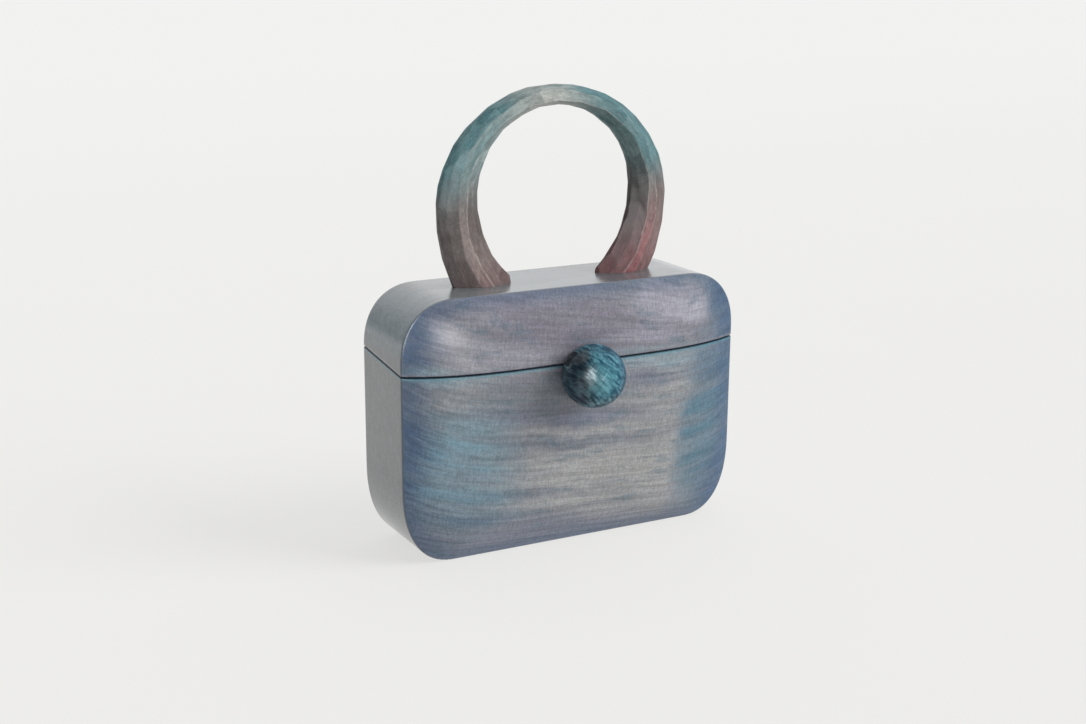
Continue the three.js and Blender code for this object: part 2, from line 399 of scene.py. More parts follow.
def new_group(name, inputs, outputs):
    """A shader node group with named sockets. Gives its wiring, its inputs and its outputs."""
    tree = bpy.data.node_groups.new(name, "ShaderNodeTree")
    for way, sockets in (("INPUT", inputs), ("OUTPUT", outputs)):
        for label, kind in sockets.items():
            tree.interface.new_socket(label, in_out=way, socket_type=f"NodeSocket{kind}")
    wiring = Wiring(tree)
    return wiring, wiring.add("NodeGroupInput").outputs, wiring.add("NodeGroupOutput").inputs


def shared_group(name, build):
    """The group of that name, built the first time that it is asked for."""
    if name not in bpy.data.node_groups:
        build(name)
    return bpy.data.node_groups[name]


def new_material(name, **constants):
    """A material with a plain shader. The constants are set on the shader's own sockets."""
    material = bpy.data.materials.new(name)
    material.use_nodes = True
    shader = material.node_tree.nodes["Principled BSDF"]
    for label, value in constants.items():
        shader.inputs[label.replace("_", " ").title().replace("Ior", "IOR")].default_value = value
    return material, Wiring(material.node_tree), shader


def dress(wiring, shader, base, roughness, relief, distance, strength):
    """Joins colour, roughness and relief to a shader."""
    wiring.link(base, shader.inputs["Base Color"])
    wiring.link(roughness, shader.inputs["Roughness"])
    inputs = {"Height": relief, "Distance": distance, "Strength": strength}
    wiring.link(wiring.add("ShaderNodeBump", None, inputs).outputs["Normal"], shader.inputs["Normal"])


# Effects that several materials share


def build_grain(name):
    """Wood grain. The place runs along the grain, then across a growth layer, then through the layers."""
    outputs = {"Bands": "Float", "Lines": "Float", "Hatch": "Float"}
    wiring, source, target = new_group(name, {"Place": "Vector"}, outputs)
    place = source["Place"]
    sway = wiring.noise(place, frequency=(14, 22, 30), detail=1.0, output="Color")
    swayed = wiring.vector("ADD", place, wiring.vector("MULTIPLY", sway, (0.0, 0.003, 0.003)))
    bands = wiring.noise(swayed, frequency=(14, 40, 170), detail=4.0, roughness=0.62)
    lines = wiring.noise(swayed, frequency=(22, 120, 900), detail=3.0, roughness=0.65)
    hatch = wiring.noise(place, frequency=(1100, 260, 260), detail=2.0, roughness=0.7)
    wiring.link(wiring.rise(bands, 0.28, 0.72), target["Bands"])
    wiring.link(wiring.rise(lines, 0.3, 0.7), target["Lines"])
    wiring.link(wiring.rise(hatch, 0.28, 0.72), target["Hatch"])


def wood_grain(wiring, place):
    """The grain's bands, lines and hatching at a place in the grain's own axes."""
    return wiring.group(shared_group("wood_grain", build_grain), {"Place": place})


DYE_TILT = math.radians(-6)


def build_dye_patch(name):
    """How much of a dye a soft round patch holds at a place. It takes better on pale streaks."""
    inputs = {
        "Place": "Vector", "Centre": "Vector", "Reach": "Vector", "Strength": "Float", "Streak": "Float"}
    wiring, source, target = new_group(name, inputs, {"Mask": "Float"})
    offset = wiring.vector("SUBTRACT", source["Place"], source["Centre"])
    offset = wiring.turned(offset, (0.0, DYE_TILT, 0.0), "POINT")
    distance = wiring.vector("LENGTH", wiring.vector("DIVIDE", offset, source["Reach"]))
    soaked = wiring.times(source["Strength"], wiring.between(source["Streak"], 0.45, 1.4))
    mask = wiring.math("MULTIPLY", wiring.rise(distance, 1.4, 0.3), soaked, clamp=True)
    wiring.link(mask, target["Mask"])


# The dyes on the front, with a painted highlight and some painted shade among them, laid one over the other:
# the dye, the patch's middle across and up, its reach across and up, all in millimetres, and its strength.
FRONT_DYES_AND_PAINTED_LIGHT = (
    ("mauve", 0, 112, 95, 24, 0.9),
    ("pale", 30, 38, 60, 34, 0.95),
    ("lilac", -52, 105, 40, 7, 0.5),
    ("slate", -28, 85, 42, 9, 0.6),
    ("pale", -72, 84, 22, 8, 0.5),
    ("violet", -15, 70, 58, 6, 0.85),
    ("slate", -4, 56.5, 56, 3.6, 0.95),
    ("pale", -28, 50.5, 34, 3.5, 0.6),
    ("pale", -32, 38.5, 36, 3.5, 0.6),
    ("slate", -42, 32, 36, 4.5, 0.75),
    ("pale", -30, 24, 40, 4, 0.5),
    ("violet", -20, 5, 100, 15, 0.7),
    ("teal", -70, 48, 34, 32, 0.8),
    ("slate", -78, 16, 30, 24, 0.5),
    ("blue", -66, 23, 30, 5, 0.45),
    ("aqua", 52, 92, 50, 6, 0.75),
    ("violet", 40, 83, 20, 4, 0.7),
    ("blue", 99, 66, 34, 120, 0.9),
    ("petrol", 70, 48, 16, 32, 0.95),
    ("blue", 84, 84, 14, 9, 0.5),
    ("pale", 54, 75, 17, 6, 0.7),
    ("indigo", 90, 22, 16, 34, 0.4),
    ("lilac", 56, 17, 13, 6, 0.2),
    ("lilac", 36, 104, 24, 5, 0.4),
    ("lilac", 52, 120, 24, 12, 1.6),
    ("indigo", 98, 112, 18, 24, 0.6),
    # Along the left edge, indigo that is partly dye and partly painted shade where the front turns away
    ("indigo", -103, 64, 22, 160, 0.9),
    ("aqua", -78, 97, 30, 4.5, 0.7),
    # A painted highlight on the lid's upper left, in lilac
    ("lilac", -68, 119, 14, 9, 0.15),
    ("teal", -84, 97.5, 16, 3, 0.5),
)

# How far the dyes drift with the clouds, and how far they bleed along the grain and over the rim, in metres
CLOUD_DRIFT = (0.024, 0.0, 0.016)
GRAIN_BLEED = 0.004
RIM_BLEED = 0.0012

# Where the box's finish changes, in metres: past the crease, from mid width, above the base, from the seam
DOME_PAST_CREASE = (-0.0006, 0.0003)
INDIGO_PAST_CREASE = (0.0052, 0.0010)
# From mid width the band's sides take painted shade, and above the base their upper corners take a painted
# reflection
SIDE_FROM_MIDDLE = (0.072, 0.092)
CORNER_ABOVE_BASE = (0.1, 0.118)
# Near the seam, the eased edges take a painted highlight
RIM_FROM_SEAM = (0.0024, 0.0008)
# Right at the seam, a dark line that is partly dye and partly painted shade of the gap
EDGE_FROM_SEAM = (0.0009, 0.0004)


def past_crease(wiring, place):
    """How far a place lies past the crease, from the band onto a dome."""
    depth = wiring.math("ABSOLUTE", wiring.axes(place)["Y"])
    return wiring.minus(depth, bpy.context.scene.handbag_box.band / 2)


def build_dyed_front(name):
    """The dyes on the two domes, which bleed along the grain and are deepest round the rims, with a painted
    highlight on the lid's upper left and painted shade in part of the indigo along the left edge.
    """
    dyes = bpy.context.scene.handbag_dyes
    inputs = {"Place": "Vector", "Grain": "Vector", "Bands": "Float", "Lines": "Float"}
    wiring, source, target = new_group(name, inputs, {"Colour": "Color"})
    flat = wiring.vector("MULTIPLY", source["Place"], (1.0, 0.0, 1.0))
    cloud = wiring.noise(flat, scale=30, detail=3.0, roughness=0.6, output="Color")
    drift = wiring.vector("SUBTRACT", cloud, (0.5, 0.5, 0.5))
    moved = wiring.vector("ADD", flat, wiring.vector("MULTIPLY", drift, CLOUD_DRIFT))
    bleed = wiring.minus(source["Lines"], 0.5)
    run = wiring.add("ShaderNodeCombineXYZ", None, {"X": wiring.times(bleed, GRAIN_BLEED)})
    moved = wiring.vector("ADD", moved, run.outputs["Vector"])
    shade = wiring.mix(source["Bands"], dyes.slate, dyes.pale)
    shade = wiring.mix(0.42, shade, dyes.taupe)
    patch = shared_group("dye_patch", build_dye_patch)
    for dye_name, across, up, reach_across, reach_up, strength in FRONT_DYES_AND_PAINTED_LIGHT:
        patch_inputs = {
            "Place": moved,
            "Centre": (across / 1000, 0.0, up / 1000),
            "Reach": (reach_across / 1000, 1.0, reach_up / 1000),
            "Strength": strength,
            "Streak": source["Bands"],
        }
        mask = wiring.group(patch, patch_inputs)["Mask"]
        shade = wiring.mix(mask, shade, getattr(dyes, dye_name))
    flecks = wiring.noise(source["Grain"], frequency=(55, 90, 330), detail=3.0, roughness=0.6)
    inward = wiring.plus(past_crease(wiring, source["Place"]), wiring.times(bleed, RIM_BLEED))
    shade = wiring.washes(
        shade,
        (wiring.rise(flecks, 0.52, 0.68), 0.5, dyes.deep_teal),
        (wiring.rise(inward, *INDIGO_PAST_CREASE), 0.5, dyes.indigo))
    wiring.link(shade, target["Colour"])


def build_worn_ridge(name):
    """Where a ridge is rubbed pale. Wear comes and goes along it."""
    wiring, source, target = new_group(name, {"Ridge": "Float", "Place": "Vector"}, {"Mask": "Float"})
    patches = wiring.noise(source["Place"], scale=110, detail=3.0, roughness=0.6)
    wear = wiring.times(wiring.rise(source["Ridge"], 0.1, 0.9), wiring.rise(patches, 0.4, 0.6))
    wiring.link(wear, target["Mask"])


def worn_ridges(wiring, place):
    """How far the ridges that a piece's mesh marks are rubbed pale."""
    inputs = {"Ridge": wiring.attribute("ridge"), "Place": place}
    return wiring.group(shared_group("worn_ridge", build_worn_ridge), inputs)["Mask"]


# The box's finishes

FRONT_GRAIN_TURN = (math.radians(52), math.radians(5), 0.0)


def dyed_box_wood(name, rim_highlight):
    """Dyed wood for one half of the box: dye on the domes and grey on the band, with painted shade on the
    band's sides, a painted reflection on their upper corners, and at the seam a painted highlight and a dark
    line of dye and painted shade.
    """
    scene = bpy.context.scene
    dyes = scene.handbag_dyes
    sizes = scene.handbag_box
    material, wiring, shader = new_material(name, specular_ior_level=0.3, coat_roughness=0.2)
    place = wiring.place()
    axes = wiring.axes(place)
    on_dome = wiring.rise(past_crease(wiring, place), *DOME_PAST_CREASE)
    front_grain = wiring.turned(place, FRONT_GRAIN_TURN)
    band_axes = {"X": axes["X"], "Y": axes["Z"], "Z": axes["Y"]}
    band_grain = wiring.add("ShaderNodeCombineXYZ", None, band_axes).outputs["Vector"]
    grain_place = wiring.mix_places(on_dome, band_grain, front_grain)
    grain = wood_grain(wiring, grain_place)
    dyed = {"Place": place, "Grain": front_grain, "Bands": grain["Bands"], "Lines": grain["Lines"]}
    front = wiring.group(shared_group("dyed_front", build_dyed_front), dyed)["Colour"]
    at_side = wiring.rise(wiring.math("ABSOLUTE", axes["X"]), *SIDE_FROM_MIDDLE)
    at_corner = wiring.times(at_side, wiring.rise(axes["Z"], *CORNER_ABOVE_BASE))
    band = wiring.mix(grain["Bands"], dyes.band_dark, dyes.band_light)
    # Painted shade on the band's sides, and a painted reflection in aqua on their upper corners
    band = wiring.washes(band, (at_side, 0.8, dyes.band_painted_shade), (at_corner, 0.8, dyes.aqua))
    seam_up = Vector((0, -sizes.seam_rise, 1)).normalized()
    above_seam = wiring.minus(wiring.vector("DOT_PRODUCT", place, seam_up), seam_up.z * sizes.seam_height)
    from_seam = wiring.math("ABSOLUTE", above_seam)
    base = wiring.washes(
        wiring.mix(on_dome, band, front),
        # A painted highlight on the eased edges beside the seam
        (wiring.rise(from_seam, *RIM_FROM_SEAM), 0.6, rim_highlight),
        # The dark line at the seam: partly dye, partly painted shade of the gap
        (wiring.rise(from_seam, *EDGE_FROM_SEAM), 0.85, dyes.seam))
    fleck = wiring.noise(grain_place, frequency=(800, 1600, 1600), detail=2.0, roughness=0.7)
    lit = wiring.tones((fleck, 0.55, 1.45), (grain["Lines"], 0.86, 1.14), (grain["Hatch"], 0.87, 1.13))
    base = wiring.mix(1.0, base, lit, "MULTIPLY")
    rubbed = wiring.noise(place, scale=60, detail=3.0)
    roughness = wiring.plus(wiring.times(on_dome, 0.07), wiring.between(rubbed, 0.2, 0.3))
    wiring.link(wiring.between(on_dome, 0.8, 0.25), shader.inputs["Coat Weight"])
    relief = wiring.plus(grain["Lines"], wiring.times(grain["Hatch"], 0.5))
    dress(wiring, shader, base, roughness, relief, distance=0.00006, strength=0.35)
    return material


def bare_wood():
    """Plain oiled wood for the inside, the hinge recesses and the peg's hole."""
    dyes = bpy.context.scene.handbag_dyes
    material, wiring, shader = new_material("bare_wood", specular_ior_level=0.35)
    grain = wood_grain(wiring, wiring.turned(wiring.place(), FRONT_GRAIN_TURN))
    dark = [share * 0.62 for share in dyes.bare]
    base = wiring.mix(wiring.between(grain["Bands"], 0.3, 1.0), dark, dyes.bare)
    base = wiring.washes(base, (grain["Hatch"], 0.3, dark))
    roughness = wiring.between(grain["Lines"], 0.5, 0.62)
    dress(wiring, shader, base, roughness, grain["Lines"], distance=0.0001, strength=0.4)
    return material


# The ring's finish. Its dyes and its light change at these places, in metres: above the base, from mid width

RING_TEAL = (0.166, 0.196)
RING_ROSE = (0.168, 0.126)
RING_LOW = (0.2, 0.165)
RING_APEX = (0.2, 0.215)
DUSK_BELOW = (0.148, 0.166)
DUSK_ABOVE = (0.194, 0.178)
APEX_MIDDLE = -0.006
APEX_REACH = (0.034, 0.004)
RING_RIGHT = (-0.03, 0.03)
RIGHT_FOOT = (-0.01, 0.01)
RING_SIDE = 0.035

# How far the edges of the dyes stray, in metres, and how steeply they climb to the right
CLOUD_STRAY = 0.004
STREAK_STRAY = 0.008
TEAL_CLIMB = 0.05
ROSE_CLIMB = 0.2


def ring_masks(wiring, place, streaks):
    """Where on the ring its dyes and its light change, as named masks."""
    axes = wiring.axes(place)
    lean = wiring.attribute("lean")
    cloud = wiring.noise(place, scale=45, detail=2.0)
    stray = wiring.plus(
        wiring.between(cloud, -CLOUD_STRAY, CLOUD_STRAY),
        wiring.between(streaks, -STREAK_STRAY, STREAK_STRAY))
    height = wiring.plus(axes["Z"], stray)
    side = wiring.math("MAXIMUM", wiring.times(axes["X"], -1 / RING_SIDE), -1.0)
    side = wiring.math("MINIMUM", side, 1.0)
    off_centre = wiring.math("ABSOLUTE", wiring.minus(axes["X"], APEX_MIDDLE))
    outside = wiring.rise(lean, -0.2, 0.5)
    foot = wiring.rise(wiring.minus(height, wiring.times(axes["X"], ROSE_CLIMB)), *RING_ROSE)
    right_foot = wiring.rise(axes["X"], *RIGHT_FOOT)
    return SimpleNamespace(
        outside=outside,
        inside=wiring.rise(lean, -0.1, -0.6),
        off_front=wiring.rise(wiring.math("ABSOLUTE", lean), 0.1, 0.6),
        # Facets that face left, which take painted shade
        shaded=wiring.rise(wiring.times(lean, side), -0.1, 0.6),
        to_right=wiring.rise(axes["X"], *RING_RIGHT),
        low=wiring.rise(height, *RING_LOW),
        apex=wiring.times(wiring.rise(off_centre, *APEX_REACH), wiring.rise(height, *RING_APEX)),
        dusk=wiring.times(wiring.rise(height, *DUSK_BELOW), wiring.rise(height, *DUSK_ABOVE)),
        teal=wiring.rise(wiring.minus(height, wiring.times(axes["X"], TEAL_CLIMB)), *RING_TEAL),
        rose=wiring.times(foot, wiring.tones((right_foot, 0.35, 0.9), (outside, 1.0, 0.5))))


def ring_dyes(wiring, masks, streaks, facet):
    """The ring's dyes: teal above, brown legs and rose feet, with rubbed facets and painted shade on the leg
    facets that face left.
    """
    dyes = bpy.context.scene.handbag_dyes
    rubbed = wiring.plus(wiring.between(streaks, 0.2, 0.8), wiring.between(facet, -0.1, 0.1))
    rubbed = wiring.minus(rubbed, wiring.times(masks.outside, wiring.between(masks.apex, 0.5, 0.1)))
    rubbed = wiring.minus(rubbed, wiring.times(masks.to_right, 0.25))
    rubbed = wiring.plus(rubbed, wiring.times(masks.apex, 0.38), clamp=True)
    crown = wiring.mix(rubbed, dyes.handle_teal, dyes.handle_grey)
    # The leg facets that face left take painted shade
    leg = wiring.washes(
        dyes.handle_brown, (masks.shaded, 0.35, dyes.handle_painted_shade), (rubbed, 0.3, dyes.handle_grey))
    base = wiring.mix(masks.teal, leg, crown)
    return wiring.mix(masks.rose, base, dyes.handle_rose)


def ring_grain_and_painted_light(wiring, masks, facet, fine, mottle):
    """How light or dark the ring's wood is: its grain, its facets' random tones and mottling, and painted
    light and shade by which way a facet faces, which side it is on and how high it is.
    """
    inside, outside, to_right = masks.inside, masks.outside, masks.to_right
    # Painted light and shade: lighter at the left of the top and on the right leg, darker at the right of the
    # top and on the left leg
    painted_side_light = wiring.tones((to_right, 1.0, -1.0), (masks.low, 0.08, -0.05))
    # Past the grain, the facets' random tones and the mottling, these tones paint light and shade by the way
    # a facet faces and where it stands. The apex is also lighter, and the legs darker in a band partway up.
    lit = wiring.tones(
        (fine, 0.6, 1.4),
        (facet, 0.88, 1.12),
        (masks.dusk, 1.0, 0.87),
        (wiring.times(inside, masks.dusk), 1.0, 0.82),
        (wiring.times(outside, masks.dusk), 1.0, 0.88),
        (wiring.times(outside, masks.low, to_right), 1.0, 0.85),
        (wiring.times(masks.off_front, to_right), 1.0, 0.8),
        (masks.apex, 1.0, 1.13),
        (inside, 1.0, 0.9),
        (wiring.times(inside, masks.low), 1.0, 0.65),
        (masks.off_front, 1.08, 1.0),
        (wiring.rise(mottle, 0.3, 0.7), 0.76, 1.22))
    return wiring.times(lit, wiring.plus(painted_side_light, 1.0))


def carved_handle_wood():
    """Dyed wood for the ring, rubbed pale on the ridges, with painted light and shade on its facets."""
    material, wiring, shader = new_material(
        "carved_handle_wood", specular_ior_level=0.2, coat_weight=0.05, coat_roughness=0.3)
    place = wiring.place()
    bar = wiring.attribute("bar", "Vector")
    facet = wiring.attribute("facet")
    streaks = wiring.noise(bar, frequency=(28, 260, 260), detail=4.0, roughness=0.65)
    chalk = wiring.noise(bar, frequency=(700, 900, 900), detail=3.0, roughness=0.7)
    fine = wiring.noise(bar, frequency=(900, 1700, 1700), detail=2.0, roughness=0.7)
    mottle = wiring.noise(bar, frequency=(190, 420, 420), detail=4.0, roughness=0.7)
    masks = ring_masks(wiring, place, streaks)
    base = ring_dyes(wiring, masks, streaks, facet)
    worn = wiring.times(worn_ridges(wiring, place), 0.42)
    pale = wiring.plus(wiring.times(wiring.rise(chalk, 0.5, 0.75), 0.18), worn, clamp=True)
    base = wiring.mix(pale, base, bpy.context.scene.handbag_dyes.worn)
    base = wiring.mix(1.0, base, ring_grain_and_painted_light(wiring, masks, facet, fine, mottle), "MULTIPLY")
    roughness = wiring.between(streaks, 0.36, 0.56)
    relief = wiring.plus(wiring.times(fine, 0.5), streaks)
    dress(wiring, shader, base, roughness, relief, distance=0.0003, strength=0.4)
    return material


# The ball's finish

BARE_FLAT = Vector((-0.62, -0.25, 0.75)).normalized()
# The direction in which the ball's front is painted paler, as a painted highlight
HIGHLIGHT_FRONT = Vector((-0.25, -0.95, 0.12)).normalized()
KNOB_GRAIN_TURN = (0.0, math.radians(42), 0.0)

# How far the bare flat's edge strays, and where the painted highlight on the notch's lip and the painted
# shadow on its wall end, in metres
BARE_STRAY = 0.0006
LIP_PAST_NOTCH = (0.0012, 0.0006)
WALL_PAST_NOTCH = (0.0004, 0.0001)
WALL_BEFORE_NOTCH = (-0.0012, -0.0004)


def scallop_offset(knob):
    """From the ball's middle to the middle of the round notch."""
    return Vector((math.cos(knob.scallop_angle), 0, math.sin(knob.scallop_angle))) * knob.scallop_distance


def notch_masks(wiring, from_middle):
    """The painted highlight on the round notch's lip and the painted shadow on its wall, as masks."""
    knob = bpy.context.scene.handbag_knob
    offset = wiring.vector("SUBTRACT", from_middle, scallop_offset(knob))
    across = wiring.vector("LENGTH", wiring.vector("MULTIPLY", offset, (1.0, 0.0, 1.0)))
    past_notch = wiring.minus(across, knob.scallop_radius)
    notch_front = knob.back - knob.scallop_depth - KNOB_PLACE.y
    behind = wiring.rise(wiring.minus(wiring.axes(from_middle)["Y"], notch_front), *WALL_BEFORE_NOTCH)
    lip_highlight = wiring.times(wiring.rise(past_notch, *LIP_PAST_NOTCH), behind)
    wall = wiring.times(wiring.rise(past_notch, *WALL_PAST_NOTCH), behind)
    return lip_highlight, wall


def carved_knob_wood():
    """Dark teal wood with pale grain that runs down to the right, and a flat that is bare, with painted shade
    on its left, its right edge, its underside and the notch's wall, and painted highlights on its front and
    the notch's lip.
    """
    scene = bpy.context.scene
    dyes = scene.handbag_dyes
    radius = scene.handbag_knob.radius
    material, wiring, shader = new_material(
        "carved_knob_wood", specular_ior_level=0.15, coat_roughness=0.28)
    place = wiring.place()
    facet = wiring.attribute("facet")
    turned = wiring.turned(place, KNOB_GRAIN_TURN)
    lines = wiring.noise(turned, frequency=(170, 200, 700), detail=3.0, roughness=0.6)
    cross = wiring.noise(turned, frequency=(900, 220, 170), detail=2.0, roughness=0.6)
    cloud = wiring.noise(place, scale=90, detail=2.0)
    from_middle = wiring.vector("SUBTRACT", place, KNOB_PLACE)
    axes = wiring.axes(from_middle)
    on_left = wiring.rise(axes["X"], -0.2 * radius, -0.75 * radius)
    on_right = wiring.rise(axes["X"], 0.2 * radius, 0.85 * radius)
    below = wiring.rise(axes["Z"], -0.25 * radius, -0.9 * radius)
    pale = wiring.times(wiring.rise(lines, 0.38, 0.74), wiring.rise(cross, 0.26, 0.66))
    pale = wiring.times(pale, wiring.rise(cloud, 0.12, 0.6))
    # The pale grain is dimmed as painted shade on the left, at the right edge and underneath
    pale = wiring.times(pale, wiring.tones((on_left, 0.85, 0.2), (on_right, 1.0, 0.55), (below, 1.0, 0.7)))
    tint = wiring.mix(on_right, dyes.knob_light, dyes.knob_blue)
    soaked = wiring.plus(wiring.rise(lines, 0.68, 0.32), wiring.between(facet, -0.15, 0.15), clamp=True)
    # Painted shade: the ground darker on the left, at the right edge and underneath
    ground = wiring.washes(
        wiring.mix(soaked, dyes.knob_mid, dyes.knob_dark),
        (on_left, 0.8, dyes.knob_painted_shade), (on_right, 0.7, dyes.knob_dark), (below, 0.6, dyes.knob_painted_shade))
    # A painted highlight: the ball's front is paler
    toward_highlight = wiring.vector("DOT_PRODUCT", from_middle, HIGHLIGHT_FRONT)
    rubbed = wiring.rise(toward_highlight, 0.8 * radius, radius)
    toward_flat = wiring.vector("DOT_PRODUCT", from_middle, BARE_FLAT)
    bared = wiring.plus(toward_flat, wiring.between(lines, -BARE_STRAY, BARE_STRAY))
    lip_highlight, wall = notch_masks(wiring, from_middle)
    base = wiring.washes(
        wiring.mix(pale, ground, tint),
        (rubbed, wiring.between(cross, 0.1, 0.7), dyes.knob_light),
        (worn_ridges(wiring, place), 0.3, dyes.knob_light),
        (wiring.rise(bared, 0.93 * radius, 0.985 * radius), 0.6, dyes.knob_bare),
        # A painted highlight on the notch's lip, and painted shadow on its wall
        (lip_highlight, 0.45, dyes.knob_light),
        (wall, 0.95, dyes.knob_painted_shade))
    gloss = wiring.tones((wiring.rise(lines, 0.4, 0.6), 0.05, 0.7), (on_right, 1.0, 0.2))
    wiring.link(gloss, shader.inputs["Coat Weight"])
    roughness = wiring.between(lines, 0.22, 0.5)
    dress(wiring, shader, base, roughness, lines, distance=0.0004, strength=0.7)
    return material


# The finishes of the hinges and the floor


def dull_brass():
    """Brass that was brushed along the pin and has dulled."""
    dyes = bpy.context.scene.handbag_dyes
    material, wiring, shader = new_material("dull_brass", metallic=1.0)
    place = wiring.place()
    brushed = wiring.noise(place, frequency=(120, 4000, 4000), detail=2.0)
    tarnish = wiring.noise(place, scale=240, detail=3.0, roughness=0.6)
    dark = [share * 0.5 for share in dyes.brass]
    base = wiring.mix(wiring.rise(tarnish, 0.35, 0.7), dark, dyes.brass)
    roughness = wiring.plus(wiring.between(brushed, 0.28, 0.42), wiring.between(tarnish, 0.08, -0.08))
    dress(wiring, shader, base, roughness, brushed, distance=0.00003, strength=0.3)
    return material


# Painted light: the paper is lighter towards the back
FLOOR_NEAR = (dye(119, 118, 116), dye(122, 121, 119))
FLOOR_FAR = dye(130, 131, 130)
FLOOR_FADE = (-0.7, 3.0)
FLOOR_GLOW = (1.0, 0.995, 0.98, 1.0)
FLOOR_GLOW_STRENGTH = 0.65


def floor_paper():
    """Pale seamless paper that glows a little, so shadows on it stay faint, and that is painted lighter
    further back.
    """
    material, wiring, shader = new_material(
        "floor_paper", specular_ior_level=0.0, emission_color=FLOOR_GLOW,
        emission_strength=FLOOR_GLOW_STRENGTH)
    place = wiring.place()
    tone = wiring.noise(place, scale=3.0, detail=2.0)
    far = wiring.rise(wiring.axes(place)["Y"], *FLOOR_FADE)
    wiring.link(wiring.mix(far, wiring.mix(tone, *FLOOR_NEAR), FLOOR_FAR), shader.inputs["Base Color"])
    wiring.link(wiring.between(tone, 0.6, 0.7), shader.inputs["Roughness"])
    return material


# Meshes

ROD_SIDES = 40
SOFT_ANGLE = math.radians(40)


def new_object(name, bm):
    """An object at the origin, with the mesh's place in its points."""
    mesh = bpy.data.meshes.new(name)
    bm.to_mesh(mesh)
    bm.free()
    piece = bpy.data.objects.new(name, mesh)
    bpy.context.scene.collection.objects.link(piece)
    return piece


def everything(bm):
    """All that a cut can go through."""
    return bm.verts[:] + bm.edges[:] + bm.faces[:]


def of_kind(items, kind):
    """The items of one kind, in their order."""
    return [item for item in items if isinstance(item, kind)]


def combine(piece, shapes, operation):
    """Joins shapes to a piece or takes them out of it, and clears the slivers that this leaves."""
    tool = new_object("shapes", shapes)
    change = piece.modifiers.new("change", "BOOLEAN")
    change.operation = operation
    change.solver = "EXACT"
    change.object = tool
    graph = bpy.context.evaluated_depsgraph_get()
    mesh = bpy.data.meshes.new_from_object(piece.evaluated_get(graph))
    piece.modifiers.clear()
    old = piece.data
    piece.data = mesh
    mesh.name = piece.name
    bpy.data.meshes.remove(old)
    bpy.data.objects.remove(tool)
    bm = bmesh.new()
    bm.from_mesh(mesh)
    bmesh.ops.remove_doubles(bm, verts=bm.verts[:], dist=SLIVER)
    bmesh.ops.dissolve_degenerate(bm, dist=SLIVER, edges=bm.edges[:])
    bm.to_mesh(mesh)
    bm.free()


def cut_flat(bm, faces, point, outward):
    """Cuts off what lies outward of a plane, among some faces, and closes the cut."""
    chosen = set(faces)
    edges = [edge for edge in bm.edges if chosen.intersection(edge.link_faces)]
    verts = [vert for vert in bm.verts if chosen.intersection(vert.link_faces)]
    cut = bmesh.ops.bisect_plane(
        bm, geom=verts + edges + faces, dist=WELD, plane_co=point, plane_no=outward, clear_outer=True)
    rim = [edge for edge in of_kind(cut["geom_cut"], bmesh.types.BMEdge) if edge.is_boundary]
    bmesh.ops.triangle_fill(bm, edges=rim, use_beauty=True, normal=outward)


def rub(bm, verts, factor, passes):
    """Rounds off what stands proud."""
    for _ in range(passes):
        bmesh.ops.smooth_vert(
            bm, verts=verts, factor=factor, use_axis_x=True, use_axis_y=True, use_axis_z=True)


def add_block(bm, low, high, matrix):
    """A block between two corners, in the axes of a matrix."""
    low, high = Vector(low), Vector(high)
    shape = Matrix.Translation((low + high) / 2) @ Matrix.Diagonal((*(high - low), 1))
    return bmesh.ops.create_cube(bm, size=1, matrix=matrix @ shape)["verts"]


def add_rod(bm, radius, start, end, matrix, sides=ROD_SIDES):
    """A rod along the X axis of a matrix."""
    turn = Matrix.Rotation(math.pi / 2, 4, "Y")
    place = Matrix.Translation(((start + end) / 2, 0, 0))
    return bmesh.ops.create_cone(
        bm, cap_ends=True, segments=sides, radius1=radius, radius2=radius, depth=end - start,
        matrix=matrix @ place @ turn)["verts"]


def soften(bm, verts, width):
    """Bevels the sharp edges of one shape."""
    own = set(verts)
    edges = [edge for edge in bm.edges if set(edge.verts) <= own and edge.calc_face_angle(0) > SOFT_ANGLE]
    bmesh.ops.bevel(
        bm, geom=edges, offset=width, affect="EDGES", segments=2, profile=0.5, material=-1,
        clamp_overlap=True)


def smooth(piece):
    """Smooth shading that keeps sharp edges sharp."""
    piece.data.shade_smooth()
    piece.data.set_sharp_from_angle(angle=SHARP_ANGLE)


def paint(piece, *materials):
    """Gives a piece its finishes, in the order that its faces number them."""
    for material in materials:
        piece.data.materials.append(material)


def give(piece, body, nodes):
    """Rides a piece on its body, in the place of its nodes."""
    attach(piece, body)
    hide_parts(*nodes)


# The box. The number of the inside's finish, and how finely its skins are divided

INSIDE = 1
HALVINGS = 40
ANGLE_DIGITS = 5
DOME_RINGS = 30
CREASE_STEPS = 4
HOLLOW_TURNS = 144
HOLLOW_RINGS = 14

# The hollow's crease against the outer one, the row beside a crease in metres, and the rows beside the seam
HOLLOW_CREASE = 6
CREASE_ROW = 0.001
RIM_ROWS = (0.3, 0.65, 1.0, 2.2)
RIM_END = 1 - 1e-4


def outline_reach(sizes, angle, inset):
    """How far the outline lies from the front's middle, at an angle from straight up."""
    near, far = 0.0, sizes.width
    for _ in range(HALVINGS):
        middle = (near + far) / 2
        across = abs(middle * math.sin(angle))
        up = middle * math.cos(angle)
        if up > 0:
            corner_across, corner_up, power = sizes.top_across, sizes.top_up, sizes.top_power
        else:
            corner_across, corner_up, power = sizes.base_across, sizes.base_up, sizes.base_power
        past_side = max(across - (sizes.width / 2 - corner_across), 0) / (corner_across - inset)
        past_end = max(abs(up) - (sizes.height / 2 - corner_up), 0) / (corner_up - inset)
        if past_side ** power + past_end ** power <= 1:
            near = middle
        else:
            far = middle
    return near


